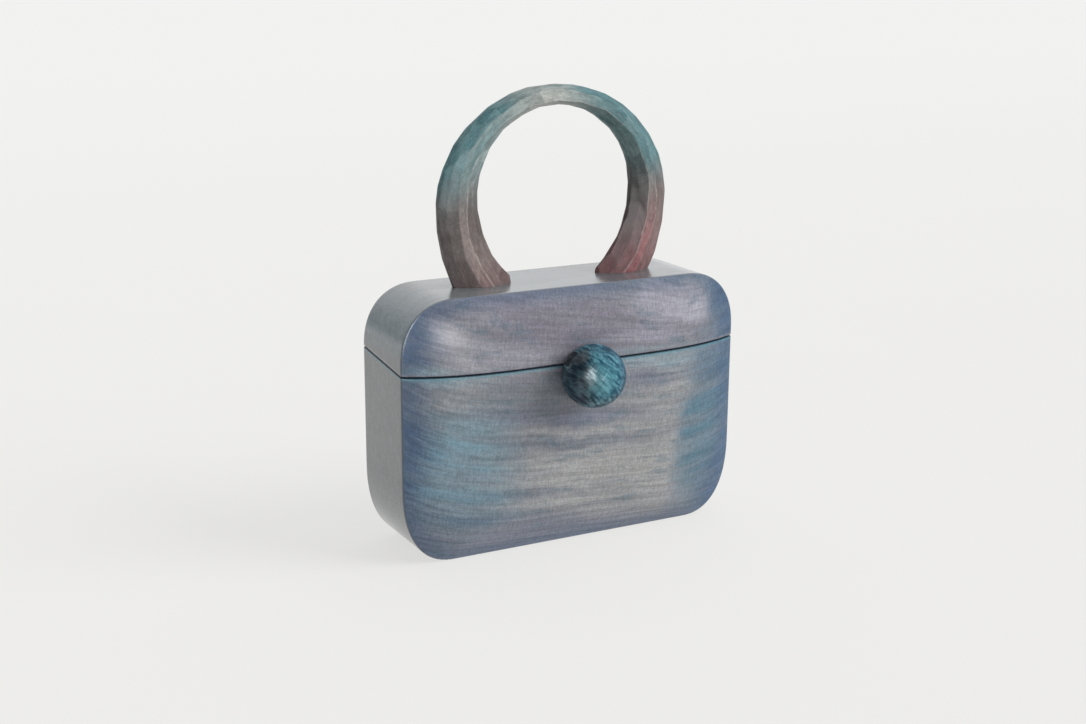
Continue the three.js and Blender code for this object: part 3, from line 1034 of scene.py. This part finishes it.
def pillow_profile(band, dome, power, rings, crease, crease_depth):
    """Half of a pillow's section as radius and depth: a dome, an eased crease and part of the band."""
    points = []
    for ring in range(rings + 1):
        radius = math.sin(ring / rings * math.pi / 2) * (1 - crease)
        points.append((radius, -band / 2 - dome * (1 - radius ** power)))
    start = Vector(points[-1])
    corner = Vector((1, -band / 2))
    end = Vector((1, -band / 2 + crease_depth))
    for step in range(1, CREASE_STEPS + 1):
        share = step / CREASE_STEPS
        points.append(tuple(start.lerp(corner, share).lerp(corner.lerp(end, share), share)))
    points.append((1, end.y + CREASE_ROW))
    points.append((1, -band / 6))
    return points


def pillow(sizes, inset, band, dome, turns, rings, crease):
    """A profile spun about the depth axis, whose rim is then drawn out to the outline."""
    bm = bmesh.new()
    front = pillow_profile(band, dome, sizes.dome_power, rings, crease, sizes.crease_depth)
    back = [(radius, -depth) for radius, depth in reversed(front)]
    corners = [bm.verts.new((0, depth, radius)) for radius, depth in front + back]
    edges = [bm.edges.new(pair) for pair in zip(corners, corners[1:])]
    bmesh.ops.spin(
        bm, geom=corners + edges, cent=(0, 0, 0), axis=BACKWARD, angle=math.tau, steps=turns,
        use_merge=True, use_duplicate=False)
    bmesh.ops.remove_doubles(bm, verts=bm.verts[:], dist=WELD)
    reaches = {}
    for vert in bm.verts:
        angle = math.atan2(vert.co.x, vert.co.z)
        key = round(angle, ANGLE_DIGITS)
        if key not in reaches:
            reaches[key] = outline_reach(sizes, angle, inset)
        vert.co.x *= reaches[key]
        vert.co.z = sizes.height / 2 + vert.co.z * reaches[key]
    bmesh.ops.recalc_face_normals(bm, faces=bm.faces[:])
    return bm


def seam_frame(sizes, side):
    """A point on one face of the seam, and the seam's upward normal. Side is 1 for the lid."""
    up = Vector((0, -sizes.seam_rise, 1)).normalized()
    return Vector((0, 0, sizes.seam_height)) + up * side * sizes.seam_opening / 2, up


def cut_at_seam(bm, sizes, side):
    """Keeps what lies below the seam, or above it where side is 1."""
    point, up = seam_frame(sizes, side)
    bmesh.ops.bisect_plane(
        bm, geom=everything(bm), dist=WELD, plane_co=point, plane_no=up,
        clear_outer=side < 0, clear_inner=side > 0)


def ease_rim(bm, sizes, side):
    """Rounds the outer edge at the seam, between extra rows of points beside it."""
    point, up = seam_frame(sizes, side)
    ease = sizes.seam_ease
    for share in RIM_ROWS:
        bmesh.ops.bisect_plane(
            bm, geom=everything(bm), dist=WELD, plane_co=point + up * side * ease * share, plane_no=up)
    bm.normal_update()
    moves = []
    for vert in bm.verts:
        share = (vert.co - point).dot(up) * side / ease
        if share < RIM_END:
            inward = ease * (1 - math.sqrt(max(0, 1 - (1 - share) ** 2)))
            moves.append((vert, vert.normal * -inward))
    for vert, move in moves:
        vert.co += move


def box_half(name, side):
    """The body, or the lid where side is 1: an outer and an inner skin joined at the rim."""
    sizes = bpy.context.scene.handbag_box
    dome = sizes.half_depth - sizes.band / 2
    outer = pillow(sizes, 0.0, sizes.band, dome, sizes.turns, DOME_RINGS, sizes.crease)
    cut_at_seam(outer, sizes, side)
    ease_rim(outer, sizes, side)
    inner = pillow(
        sizes, sizes.wall, sizes.hollow_band, sizes.hollow_dome, HOLLOW_TURNS, HOLLOW_RINGS,
        sizes.crease * HOLLOW_CREASE)
    cut_at_seam(inner, sizes, side)
    bmesh.ops.reverse_faces(inner, faces=inner.faces[:])
    for face in inner.faces:
        face.material_index = INSIDE
    skin = bpy.data.meshes.new("inner_skin")
    inner.to_mesh(skin)
    inner.free()
    outer.from_mesh(skin)
    bpy.data.meshes.remove(skin)
    rims = [edge for edge in outer.edges if edge.is_boundary]
    up = seam_frame(sizes, side)[1]
    filled = bmesh.ops.triangle_fill(outer, edges=rims, use_beauty=True, normal=up * -side)["geom"]
    bmesh.ops.recalc_face_normals(outer, faces=of_kind(filled, bmesh.types.BMFace))
    return new_object(name, outer)


def hinge_matrix(hand):
    """A hinge's own axes: X along its pin, Y along the seam to the back, Z across the seam."""
    scene = bpy.context.scene
    place = Vector((hand * scene.handbag_hinges.from_middle, HINGE_PLACE.y, HINGE_PLACE.z))
    return Matrix.Translation(place) @ Matrix.Rotation(math.atan(scene.handbag_box.seam_rise), 4, "X")


def hinge_length(hinges):
    """Three knuckles and the gaps between them."""
    return 3 * hinges.knuckle + 2 * hinges.gap


def add_recesses(bm, side):
    """The shallow recesses that the hinge leaves lie in. Side is 1 in the lid."""
    hinges = bpy.context.scene.handbag_hinges
    half = hinge_length(hinges) / 2 + hinges.gap
    bottom = side * (hinges.leaf_from_seam + hinges.leaf_thickness + hinges.gap)
    for hand in (-1, 1):
        add_block(
            bm, (-half, -hinges.leaf_inner - hinges.gap, min(bottom, 0)),
            (half, hinges.barrel, max(bottom, 0)), hinge_matrix(hand))


# The ball's own axes: X along the depth to the back, from its middle
ALONG_DEPTH = Matrix.Translation(KNOB_PLACE) @ Matrix.Rotation(math.pi / 2, 4, "Z")


def add_peg_hole(bm):
    """The blind hole behind the knob."""
    knob = bpy.context.scene.handbag_knob
    start = knob.back - knob.peg_clearance - KNOB_PLACE.y
    end = KNOB_HIGH.y + knob.peg_clearance - KNOB_PLACE.y
    add_rod(bm, knob.peg_radius + knob.peg_clearance, start, end, ALONG_DEPTH)


# The handle. How deep a ridge at the front or the back lies, and how far the feet clear the lid, in metres

FRONT_RIDGE_DEPTH = 0.0047
FOOT_CLEARANCE = 0.00004

# How far a knife cut's corner strays along the ring, as a share of a cut, and in its section
STRAY_ALONG = 0.34
STRAY_OUT = 0.6
STRAY_DEPTH = 0.5
EDGE_STRAY_END = 0.5

# How worn the ridges are: across the bar, at its flanks, and at the front inside and outside
WEAR_ACROSS = 0.15
WEAR_FLANK = 0.4
WEAR_INSIDE = 1.0
WEAR_OUTSIDE = 0.5
FACET_CUTS = 5
RIDGE_RUB = 0.3
RIDGE_PASSES = 2


def handle_curve_point(middle, half_width, widest, up, down, angle):
    """A point on one of the ring's curves, across and up, at an angle from the top."""
    rise = up if math.cos(angle) > 0 else down
    return Vector((middle + half_width * math.sin(angle), LID_HIGH.z + widest + rise * math.cos(angle)))


def handle_corners(sizes, half_thickness, half_depth):
    """The corners of the carved section, outward from the ring's own curve and then along the depth."""
    near = Vector((sizes.flat / 2, half_depth))
    far = Vector((half_thickness, sizes.edge / 2))
    proud = Vector((near.y - far.y, far.x - near.x)).normalized() * sizes.shoulder
    right_back = [near, near.lerp(far, 0.5) + proud, far]
    right_front = [Vector((point.x, -point.y)) for point in reversed(right_back)]
    left_front = [-point for point in right_back]
    left_back = [Vector((-point.x, point.y)) for point in reversed(right_back)]
    return left_back + right_back + right_front + left_front


def handle_station(sizes, angle):
    """The ring's middle, its outward direction, and its half thickness and half depth at an angle."""
    outer = handle_curve_point(
        0.0, sizes.outer_half_width, sizes.outer_widest, sizes.outer_up, sizes.outer_down, angle)
    inner = handle_curve_point(
        sizes.inner_middle, sizes.inner_half_width, sizes.inner_widest, sizes.inner_up,
        sizes.inner_down, angle)
    leg_share = min(2 * math.sin(angle / 2) ** 2, 1)
    depth = sizes.depth_at_top + (sizes.depth_at_legs - sizes.depth_at_top) * leg_share
    span = outer - inner
    return (outer + inner) / 2, span.normalized(), span.length / 2, depth / 2


def strayed_corner(sizes, turn, number, draw):
    """A corner of the bar near a turn round the ring: its place, its spot in the section and its flank."""
    stray = STRAY_ALONG * draw.uniform(-1, 1) * 2 * sizes.sweep / sizes.cuts
    middle, outward, half_thickness, half_depth = handle_station(sizes, turn + stray)
    corner = handle_corners(sizes, half_thickness, half_depth)[number]
    is_edge = abs(corner.y) < sizes.edge
    away = sizes.wander * draw.uniform(-1, EDGE_STRAY_END if is_edge else 1)
    slide = sizes.wander * draw.uniform(-1, 1)
    out = corner.x + (math.copysign(away * STRAY_OUT, corner.x) if is_edge else slide)
    along = corner.y + math.copysign(away * STRAY_DEPTH, corner.y)
    place = middle + outward * out
    return (place.x, along, place.y), (out, along), out / half_thickness


def carved_ring(sizes):
    """A bar with many corners, extruded round the ring cut by cut, each ridge straying a little."""
    draw = random.Random(7)
    bm = bmesh.new()
    bar = bm.verts.layers.float_vector.new("bar")
    flank = bm.verts.layers.float.new("flank")
    corner_number = bm.verts.layers.int.new("corner")
    count = len(handle_corners(sizes, *handle_station(sizes, 0.0)[2:]))
    bmesh.ops.create_circle(bm, cap_ends=True, segments=count, radius=1)
    ring = bm.verts[:]
    edges = bm.edges[:]
    travelled = 0.0
    last = None
    for cut in range(sizes.cuts + 1):
        if cut > 0:
            grown = bmesh.ops.extrude_edge_only(bm, edges=edges)["geom"]
            fresh = set(of_kind(grown, bmesh.types.BMVert))
            edges = [edge for edge in of_kind(grown, bmesh.types.BMEdge) if set(edge.verts) <= fresh]
            ring = [
                next(edge.other_vert(vert) for edge in vert.link_edges if edge.other_vert(vert) in fresh)
                for vert in ring]
        turn = sizes.sweep * (2 * cut / sizes.cuts - 1)
        middle = handle_station(sizes, turn)[0]
        travelled += (middle - last).length if last else 0.0
        last = middle
        for number, vert in enumerate(ring):
            vert.co, spot, vert[flank] = strayed_corner(sizes, turn, number, draw)
            vert[bar] = (travelled, *spot)
            vert[corner_number] = number
    bmesh.ops.edgeloop_fill(bm, edges=edges)
    bmesh.ops.recalc_face_normals(bm, faces=bm.faces[:])
    return bm


def ridge_wear(first, second):
    """How worn the ridge between two places along the bar is."""
    if abs(first.x - second.x) <= WELD:
        return WEAR_ACROSS
    if min(abs(first.z), abs(second.z)) <= FRONT_RIDGE_DEPTH:
        return WEAR_FLANK
    return WEAR_INSIDE if first.y < 0 else WEAR_OUTSIDE


def carve_facets(bm, draw):
    """Splits the facets finely, and marks and rounds off the ridges between them."""
    shade = bm.faces.layers.float.new("facet")
    worn = bm.verts.layers.float.new("ridge")
    lean = bm.faces.layers.float.new("lean")
    cut = bm.edges.layers.float.new("cut")
    bar = bm.verts.layers.float_vector["bar"]
    flank = bm.verts.layers.float["flank"]
    corner_number = bm.verts.layers.int["corner"]

    def along_bar(face):
        """Puts the facets in one order, whichever way they were made."""
        corners = sorted(vert[corner_number] for vert in face.verts)
        return min(vert[bar].x for vert in face.verts), corners

    for face in sorted(bm.faces, key=along_bar):
        face[shade] = draw.random()
        face[lean] = sum(vert[flank] for vert in face.verts) / len(face.verts)
    for edge in bm.edges:
        edge[cut] = ridge_wear(*(vert[bar] for vert in edge.verts))
    bmesh.ops.subdivide_edges(bm, edges=bm.edges[:], cuts=FACET_CUTS, use_grid_fill=True)
    ridges = set()
    for edge in bm.edges:
        if edge[cut] > 0:
            ridges.update(edge.verts)
            for vert in edge.verts:
                vert[worn] = max(vert[worn], edge[cut])
    rub(bm, list(ridges), RIDGE_RUB, RIDGE_PASSES)


def handle_piece():
    """The carved ring, cut off flat at its feet and blunt at their tips."""
    sizes = bpy.context.scene.handbag_handle
    bm = carved_ring(sizes)
    carve_facets(bm, random.Random(11))
    foot_height = LID_HIGH.z + FOOT_CLEARANCE
    cut_flat(bm, bm.faces[:], Vector((0, 0, foot_height)), Vector((0, 0, -1)))
    knee = LID_HIGH.z + sizes.inner_widest / 2
    for hand in (-1, 1):
        middles = [(face, face.calc_center_median()) for face in bm.faces]
        foot = [face for face, middle in middles if middle.z < knee and middle.x * hand > 0]
        cut_flat(bm, foot, Vector((hand * sizes.tip, 0, 0)), Vector((-hand, 0, 0)))
    bmesh.ops.recalc_face_normals(bm, faces=bm.faces[:])
    return new_object("carved_handle", bm)


# The knob. How its flats stray and vary in depth, which of them can meet, and how narrow their ridges are

GOLDEN_ANGLE = math.pi * (3 - math.sqrt(5))
FLAT_STRAY = 0.12
FLAT_DEPTHS = (0.55, 1.35)
FLAT_FACING = 0.5
RIDGE_NARROWNESS = 5
BALL_SUBDIVISIONS = 6
BALL_RUB = 0.5
NOTCH_SIDES = 48


def knob_facets(sizes):
    """The directions of the flats on the ball, spread evenly and then strayed, with their depths."""
    draw = random.Random(23)
    flats = []
    for number in range(sizes.facets):
        height = 1 - 2 * (number + 0.5) / sizes.facets
        ring = math.sqrt(1 - height * height)
        turn = GOLDEN_ANGLE * number
        stray = Vector((draw.uniform(-1, 1), draw.uniform(-1, 1), draw.uniform(-1, 1))) * FLAT_STRAY
        direction = Vector((ring * math.cos(turn), ring * math.sin(turn), height)) + stray
        depth = 1 - sizes.planing * draw.uniform(*FLAT_DEPTHS)
        flats.append((direction.normalized(), depth, draw.random()))
    flats.append((BARE_FLAT, 1 - sizes.bare_depth, 0.0))
    return flats


def nearest_flats(direction, flats):
    """How far out each flat lets the ball reach in a direction, lowest first, with its shade."""
    reaches = []
    for normal, depth, shade in flats:
        toward = direction.dot(normal)
        if toward > FLAT_FACING:
            reaches.append((depth / toward, shade))
    reaches.sort()
    return reaches


def mark_flats(piece, flats, planing):
    """Marks the ridges between the ball's flats, and each flat's own shade."""
    bm = bmesh.new()
    bm.from_mesh(piece.data)
    worn = bm.verts.layers.float.new("ridge")
    tone = bm.verts.layers.float.new("facet")
    for vert in bm.verts:
        reaches = nearest_flats((vert.co - KNOB_PLACE).normalized(), flats)
        gap = (reaches[1][0] - reaches[0][0]) / planing
        vert[worn] = max(0.0, 1 - RIDGE_NARROWNESS * gap)
        vert[tone] = reaches[0][1]
    bm.to_mesh(piece.data)
    bm.free()


def knob_piece():
    """The ball with its flats, its flat back, its peg and its round notch."""
    sizes = bpy.context.scene.handbag_knob
    flats = knob_facets(sizes)
    bm = bmesh.new()
    bmesh.ops.create_icosphere(bm, subdivisions=BALL_SUBDIVISIONS, radius=1)
    for vert in bm.verts:
        direction = vert.co.normalized()
        reach = min(nearest_flats(direction, flats)[0][0], 1.0)
        vert.co = KNOB_PLACE + direction * reach * sizes.radius
    rub(bm, bm.verts[:], BALL_RUB, sizes.rubbing)
    cut_flat(bm, bm.faces[:], Vector((0, sizes.back, 0)), BACKWARD)
    piece = new_object("carved_knob", bm)
    flat_back = sizes.back - KNOB_PLACE.y
    peg = bmesh.new()
    add_rod(peg, sizes.peg_radius, flat_back - sizes.peg_radius, KNOB_HIGH.y - KNOB_PLACE.y, ALONG_DEPTH)
    combine(piece, peg, "UNION")
    notch = bmesh.new()
    beside = Matrix.Translation(scallop_offset(sizes)) @ ALONG_DEPTH
    notch_front = flat_back - sizes.scallop_depth
    add_rod(notch, sizes.scallop_radius, notch_front, sizes.radius, beside, NOTCH_SIDES)
    combine(piece, notch, "DIFFERENCE")
    mark_flats(piece, flats, sizes.planing)
    return piece


# The hinges

PIN_SIDES = 24


def hinge_leaf_piece(name, hand, side, knuckles):
    """A leaf with its knuckles. Side is 1 for the lid's leaf."""
    hinges = bpy.context.scene.handbag_hinges
    matrix = hinge_matrix(hand)
    near = side * hinges.leaf_from_seam
    far = side * (hinges.leaf_from_seam + hinges.leaf_thickness)
    low, high = min(near, far), max(near, far)
    half = hinge_length(hinges) / 2
    plate = bmesh.new()
    block = add_block(plate, (-half, -hinges.leaf_inner, low), (half, -hinges.leaf_outer, high), matrix)
    soften(plate, block, hinges.leaf_thickness / 6)
    piece = new_object(name, plate)
    for knuckle in knuckles:
        middle = knuckle * (hinges.knuckle + hinges.gap)
        start = middle - hinges.knuckle / 2
        end = middle + hinges.knuckle / 2
        tongue = bmesh.new()
        add_block(tongue, (start, -hinges.leaf_outer - hinges.gap, low), (end, -hinges.pin, high), matrix)
        combine(piece, tongue, "UNION")
        barrel = bmesh.new()
        soften(barrel, add_rod(barrel, hinges.barrel, start, end, matrix), hinges.gap)
        combine(piece, barrel, "UNION")
    bore = bmesh.new()
    add_rod(bore, hinges.pin + hinges.gap, -2 * half, 2 * half, matrix)
    combine(piece, bore, "DIFFERENCE")
    return piece


def hinge_pin_piece(name, hand):
    """A pin as long as the three knuckles."""
    hinges = bpy.context.scene.handbag_hinges
    half = hinge_length(hinges) / 2
    bm = bmesh.new()
    pin = add_rod(bm, hinges.pin, -half, half, hinge_matrix(hand), PIN_SIDES)
    soften(bm, pin, hinges.pin / 3)
    return new_object(name, bm)


# The stage. Places and sizes are in metres, and a window is its place, its width and its height

KEY_PLACE = Vector((1.1, -0.8, 0.85))
LEFT_WINDOW = (Vector((-0.9, -1.18, 0.46)), 0.65, 1.5)
FRONT_WINDOW = (Vector((0.08, -1.5, 0.22)), 0.3, 0.3)
BRIGHT_SIDE = Vector((0.6, 0.5, 0.62)).normalized()
BRIGHT_RANGE = (0.05, 0.75)
ROOM_TINT = (0.98, 0.99, 1.0, 1.0)
FLOOR_GRID = 8
SENSOR_WIDTH = 36.0


def lay_floor(sizes):
    """A sheet of paper under and behind the bag."""
    bm = bmesh.new()
    bmesh.ops.create_grid(bm, x_segments=FLOOR_GRID, y_segments=FLOOR_GRID, size=sizes.floor_size / 2)
    floor = new_object("floor", bm)
    paint(floor, floor_paper())


def white_room(sizes):
    """A world that is bright behind, above and to the right of the bag, and even where the camera sees it."""
    world = bpy.data.worlds.new("white_room")
    world.use_nodes = True
    wiring = Wiring(world.node_tree)
    direction = wiring.add("ShaderNodeTexCoord").outputs["Generated"]
    bright = wiring.rise(wiring.vector("DOT_PRODUCT", direction, BRIGHT_SIDE), *BRIGHT_RANGE)
    strength = wiring.between(bright, sizes.room_dark, sizes.room_bright)
    seen = wiring.add("ShaderNodeLightPath").outputs["Is Camera Ray"]
    backdrop = {0: seen, 2: strength, 3: sizes.backdrop}
    strength = wiring.add("ShaderNodeMix", {"data_type": "FLOAT"}, backdrop).outputs[0]
    background = world.node_tree.nodes["Background"]
    background.inputs["Color"].default_value = ROOM_TINT
    wiring.link(strength, background.inputs["Strength"])
    return world


def aim(light, place):
    """Hangs a light at a place, aimed at the middle of the box."""
    lamp = bpy.data.objects.new(light.name, light)
    lamp.location = place
    toward = Vector((0, 0, LID_HIGH.z / 2)) - place
    lamp.rotation_euler = toward.to_track_quat("-Z", "Y").to_euler()
    bpy.context.scene.collection.objects.link(lamp)
    return lamp


def hang_lights(scene, sizes):
    """A white room, a soft key that leaves no highlight, and two windows that are only highlights."""
    scene.view_settings.view_transform = "Standard"
    scene.world = white_room(sizes)
    key = bpy.data.lights.new("key", "SUN")
    key.energy = sizes.key_strength
    key.angle = sizes.key_softness
    aim(key, KEY_PLACE).visible_glossy = False
    windows = (
        ("left_window", *LEFT_WINDOW, sizes.left_window_power),
        ("front_window", *FRONT_WINDOW, sizes.front_window_power),
    )
    for name, place, width, height, power in windows:
        window = bpy.data.lights.new(name, "AREA")
        window.shape = "RECTANGLE"
        window.energy = power
        window.size = width
        window.size_y = height
        aim(window, place).visible_diffuse = False


def set_camera(scene, sizes):
    """The camera that looks at the bag from the front and the left."""
    data = bpy.data.cameras.new("camera")
    data.lens = sizes.lens
    data.sensor_width = SENSOR_WIDTH
    data.sensor_fit = "HORIZONTAL"
    camera = bpy.data.objects.new("camera", data)
    turn = Matrix.Rotation(-sizes.camera_yaw, 4, "Z")
    tip = Matrix.Rotation(math.pi / 2 - sizes.camera_pitch, 4, "X")
    roll = Matrix.Rotation(sizes.camera_roll, 4, "Z")
    camera.matrix_world = Matrix.Translation(sizes.camera_place) @ turn @ tip @ roll
    scene.collection.objects.link(camera)
    scene.camera = camera


# Operators


class HANDBAG_OT_stage(bpy.types.Operator):
    """Lay the floor, hang the lights and set up the camera"""

    bl_idname = "handbag.stage"
    bl_label = "Stage"

    def execute(self, context):
        sizes = context.scene.handbag_stage
        lay_floor(sizes)
        hang_lights(context.scene, sizes)
        set_camera(context.scene, sizes)
        return {"FINISHED"}


class HANDBAG_OT_box(bpy.types.Operator):
    """Shape the body and the lid, and cut the hinge recesses and the peg's hole"""

    bl_idname = "handbag.box"
    bl_label = "Box"

    def execute(self, context):
        dyes = context.scene.handbag_dyes
        inside = bare_wood()
        halves = (
            # Each half's colour for the painted highlight on its eased edge at the seam
            ("dyed_body", "body", "body_wood", -1, dyes.seam_highlight),
            ("dyed_lid", "lid", "lid_wood", 1, dyes.mauve),
        )
        for name, body, slot, side, rim_highlight in halves:
            piece = box_half(name, side)
            paint(piece, dyed_box_wood(f"{name}_wood", rim_highlight), inside)
            tools = bmesh.new()
            add_recesses(tools, side)
            if side < 0:
                add_peg_hole(tools)
            for face in tools.faces:
                face.material_index = INSIDE
            combine(piece, tools, "DIFFERENCE")
            smooth(piece)
            give(piece, body, [body])
        return {"FINISHED"}


class HANDBAG_OT_handle(bpy.types.Operator):
    """Carve the ring handle on the lid"""

    bl_idname = "handbag.handle"
    bl_label = "Handle"

    def execute(self, context):
        piece = handle_piece()
        smooth(piece)
        paint(piece, carved_handle_wood())
        give(piece, "lid", ["handle"])
        return {"FINISHED"}


class HANDBAG_OT_knob(bpy.types.Operator):
    """Carve the ball clasp"""

    bl_idname = "handbag.knob"
    bl_label = "Knob"

    def execute(self, context):
        piece = knob_piece()
        smooth(piece)
        paint(piece, carved_knob_wood())
        give(piece, "knob", ["knob"])
        return {"FINISHED"}


class HANDBAG_OT_hinges(bpy.types.Operator):
    """Fit the two brass hinges at the back"""

    bl_idname = "handbag.hinges"
    bl_label = "Hinges"

    def execute(self, context):
        brass = dull_brass()
        for hand, label in ((-1, "left"), (1, "right")):
            pieces = (
                ("body", f"leaf_body_{label}", hinge_leaf_piece, (hand, -1, (-1, 1))),
                ("lid", f"leaf_lid_{label}", hinge_leaf_piece, (hand, 1, (0,))),
                ("body", f"pin_{label}", hinge_pin_piece, (hand,)),
            )
            for body, name, make, details in pieces:
                piece = make(f"brass_{name}", *details)
                smooth(piece)
                paint(piece, brass)
                give(piece, body, [f"hinge_{name}"])
        return {"FINISHED"}


class HANDBAG_PT_panel(bpy.types.Panel):
    """The steps that build the handbag"""

    bl_idname = "HANDBAG_PT_panel"
    bl_label = "Handbag"
    bl_space_type = "VIEW_3D"
    bl_region_type = "UI"
    bl_category = "Handbag"

    def draw(self, context):
        for operator in OPERATORS:
            self.layout.operator(operator.bl_idname)


GROUPS = {
    "handbag_box": BoxSizes,
    "handbag_handle": HandleSizes,
    "handbag_knob": KnobSizes,
    "handbag_hinges": HingeSizes,
    "handbag_dyes": DyeColours,
    "handbag_stage": StageSizes,
}
OPERATORS = (HANDBAG_OT_stage, HANDBAG_OT_box, HANDBAG_OT_handle, HANDBAG_OT_knob, HANDBAG_OT_hinges)
CLASSES = (*GROUPS.values(), *OPERATORS, HANDBAG_PT_panel)


def register():
    """Makes the classes known, and gives every scene the sizes and colours."""
    for cls in CLASSES:
        bpy.utils.register_class(cls)
    for name, group in GROUPS.items():
        setattr(bpy.types.Scene, name, PointerProperty(type=group))


def unregister():
    """Takes back all that register did."""
    for name in GROUPS:
        delattr(bpy.types.Scene, name)
    for cls in reversed(CLASSES):
        bpy.utils.unregister_class(cls)


def main():
    """Builds the bag on its stage."""
    register()
    bpy.ops.handbag.stage()
    bpy.ops.handbag.box()
    bpy.ops.handbag.handle()
    bpy.ops.handbag.knob()
    bpy.ops.handbag.hinges()


if __name__ == "__main__":
    main()
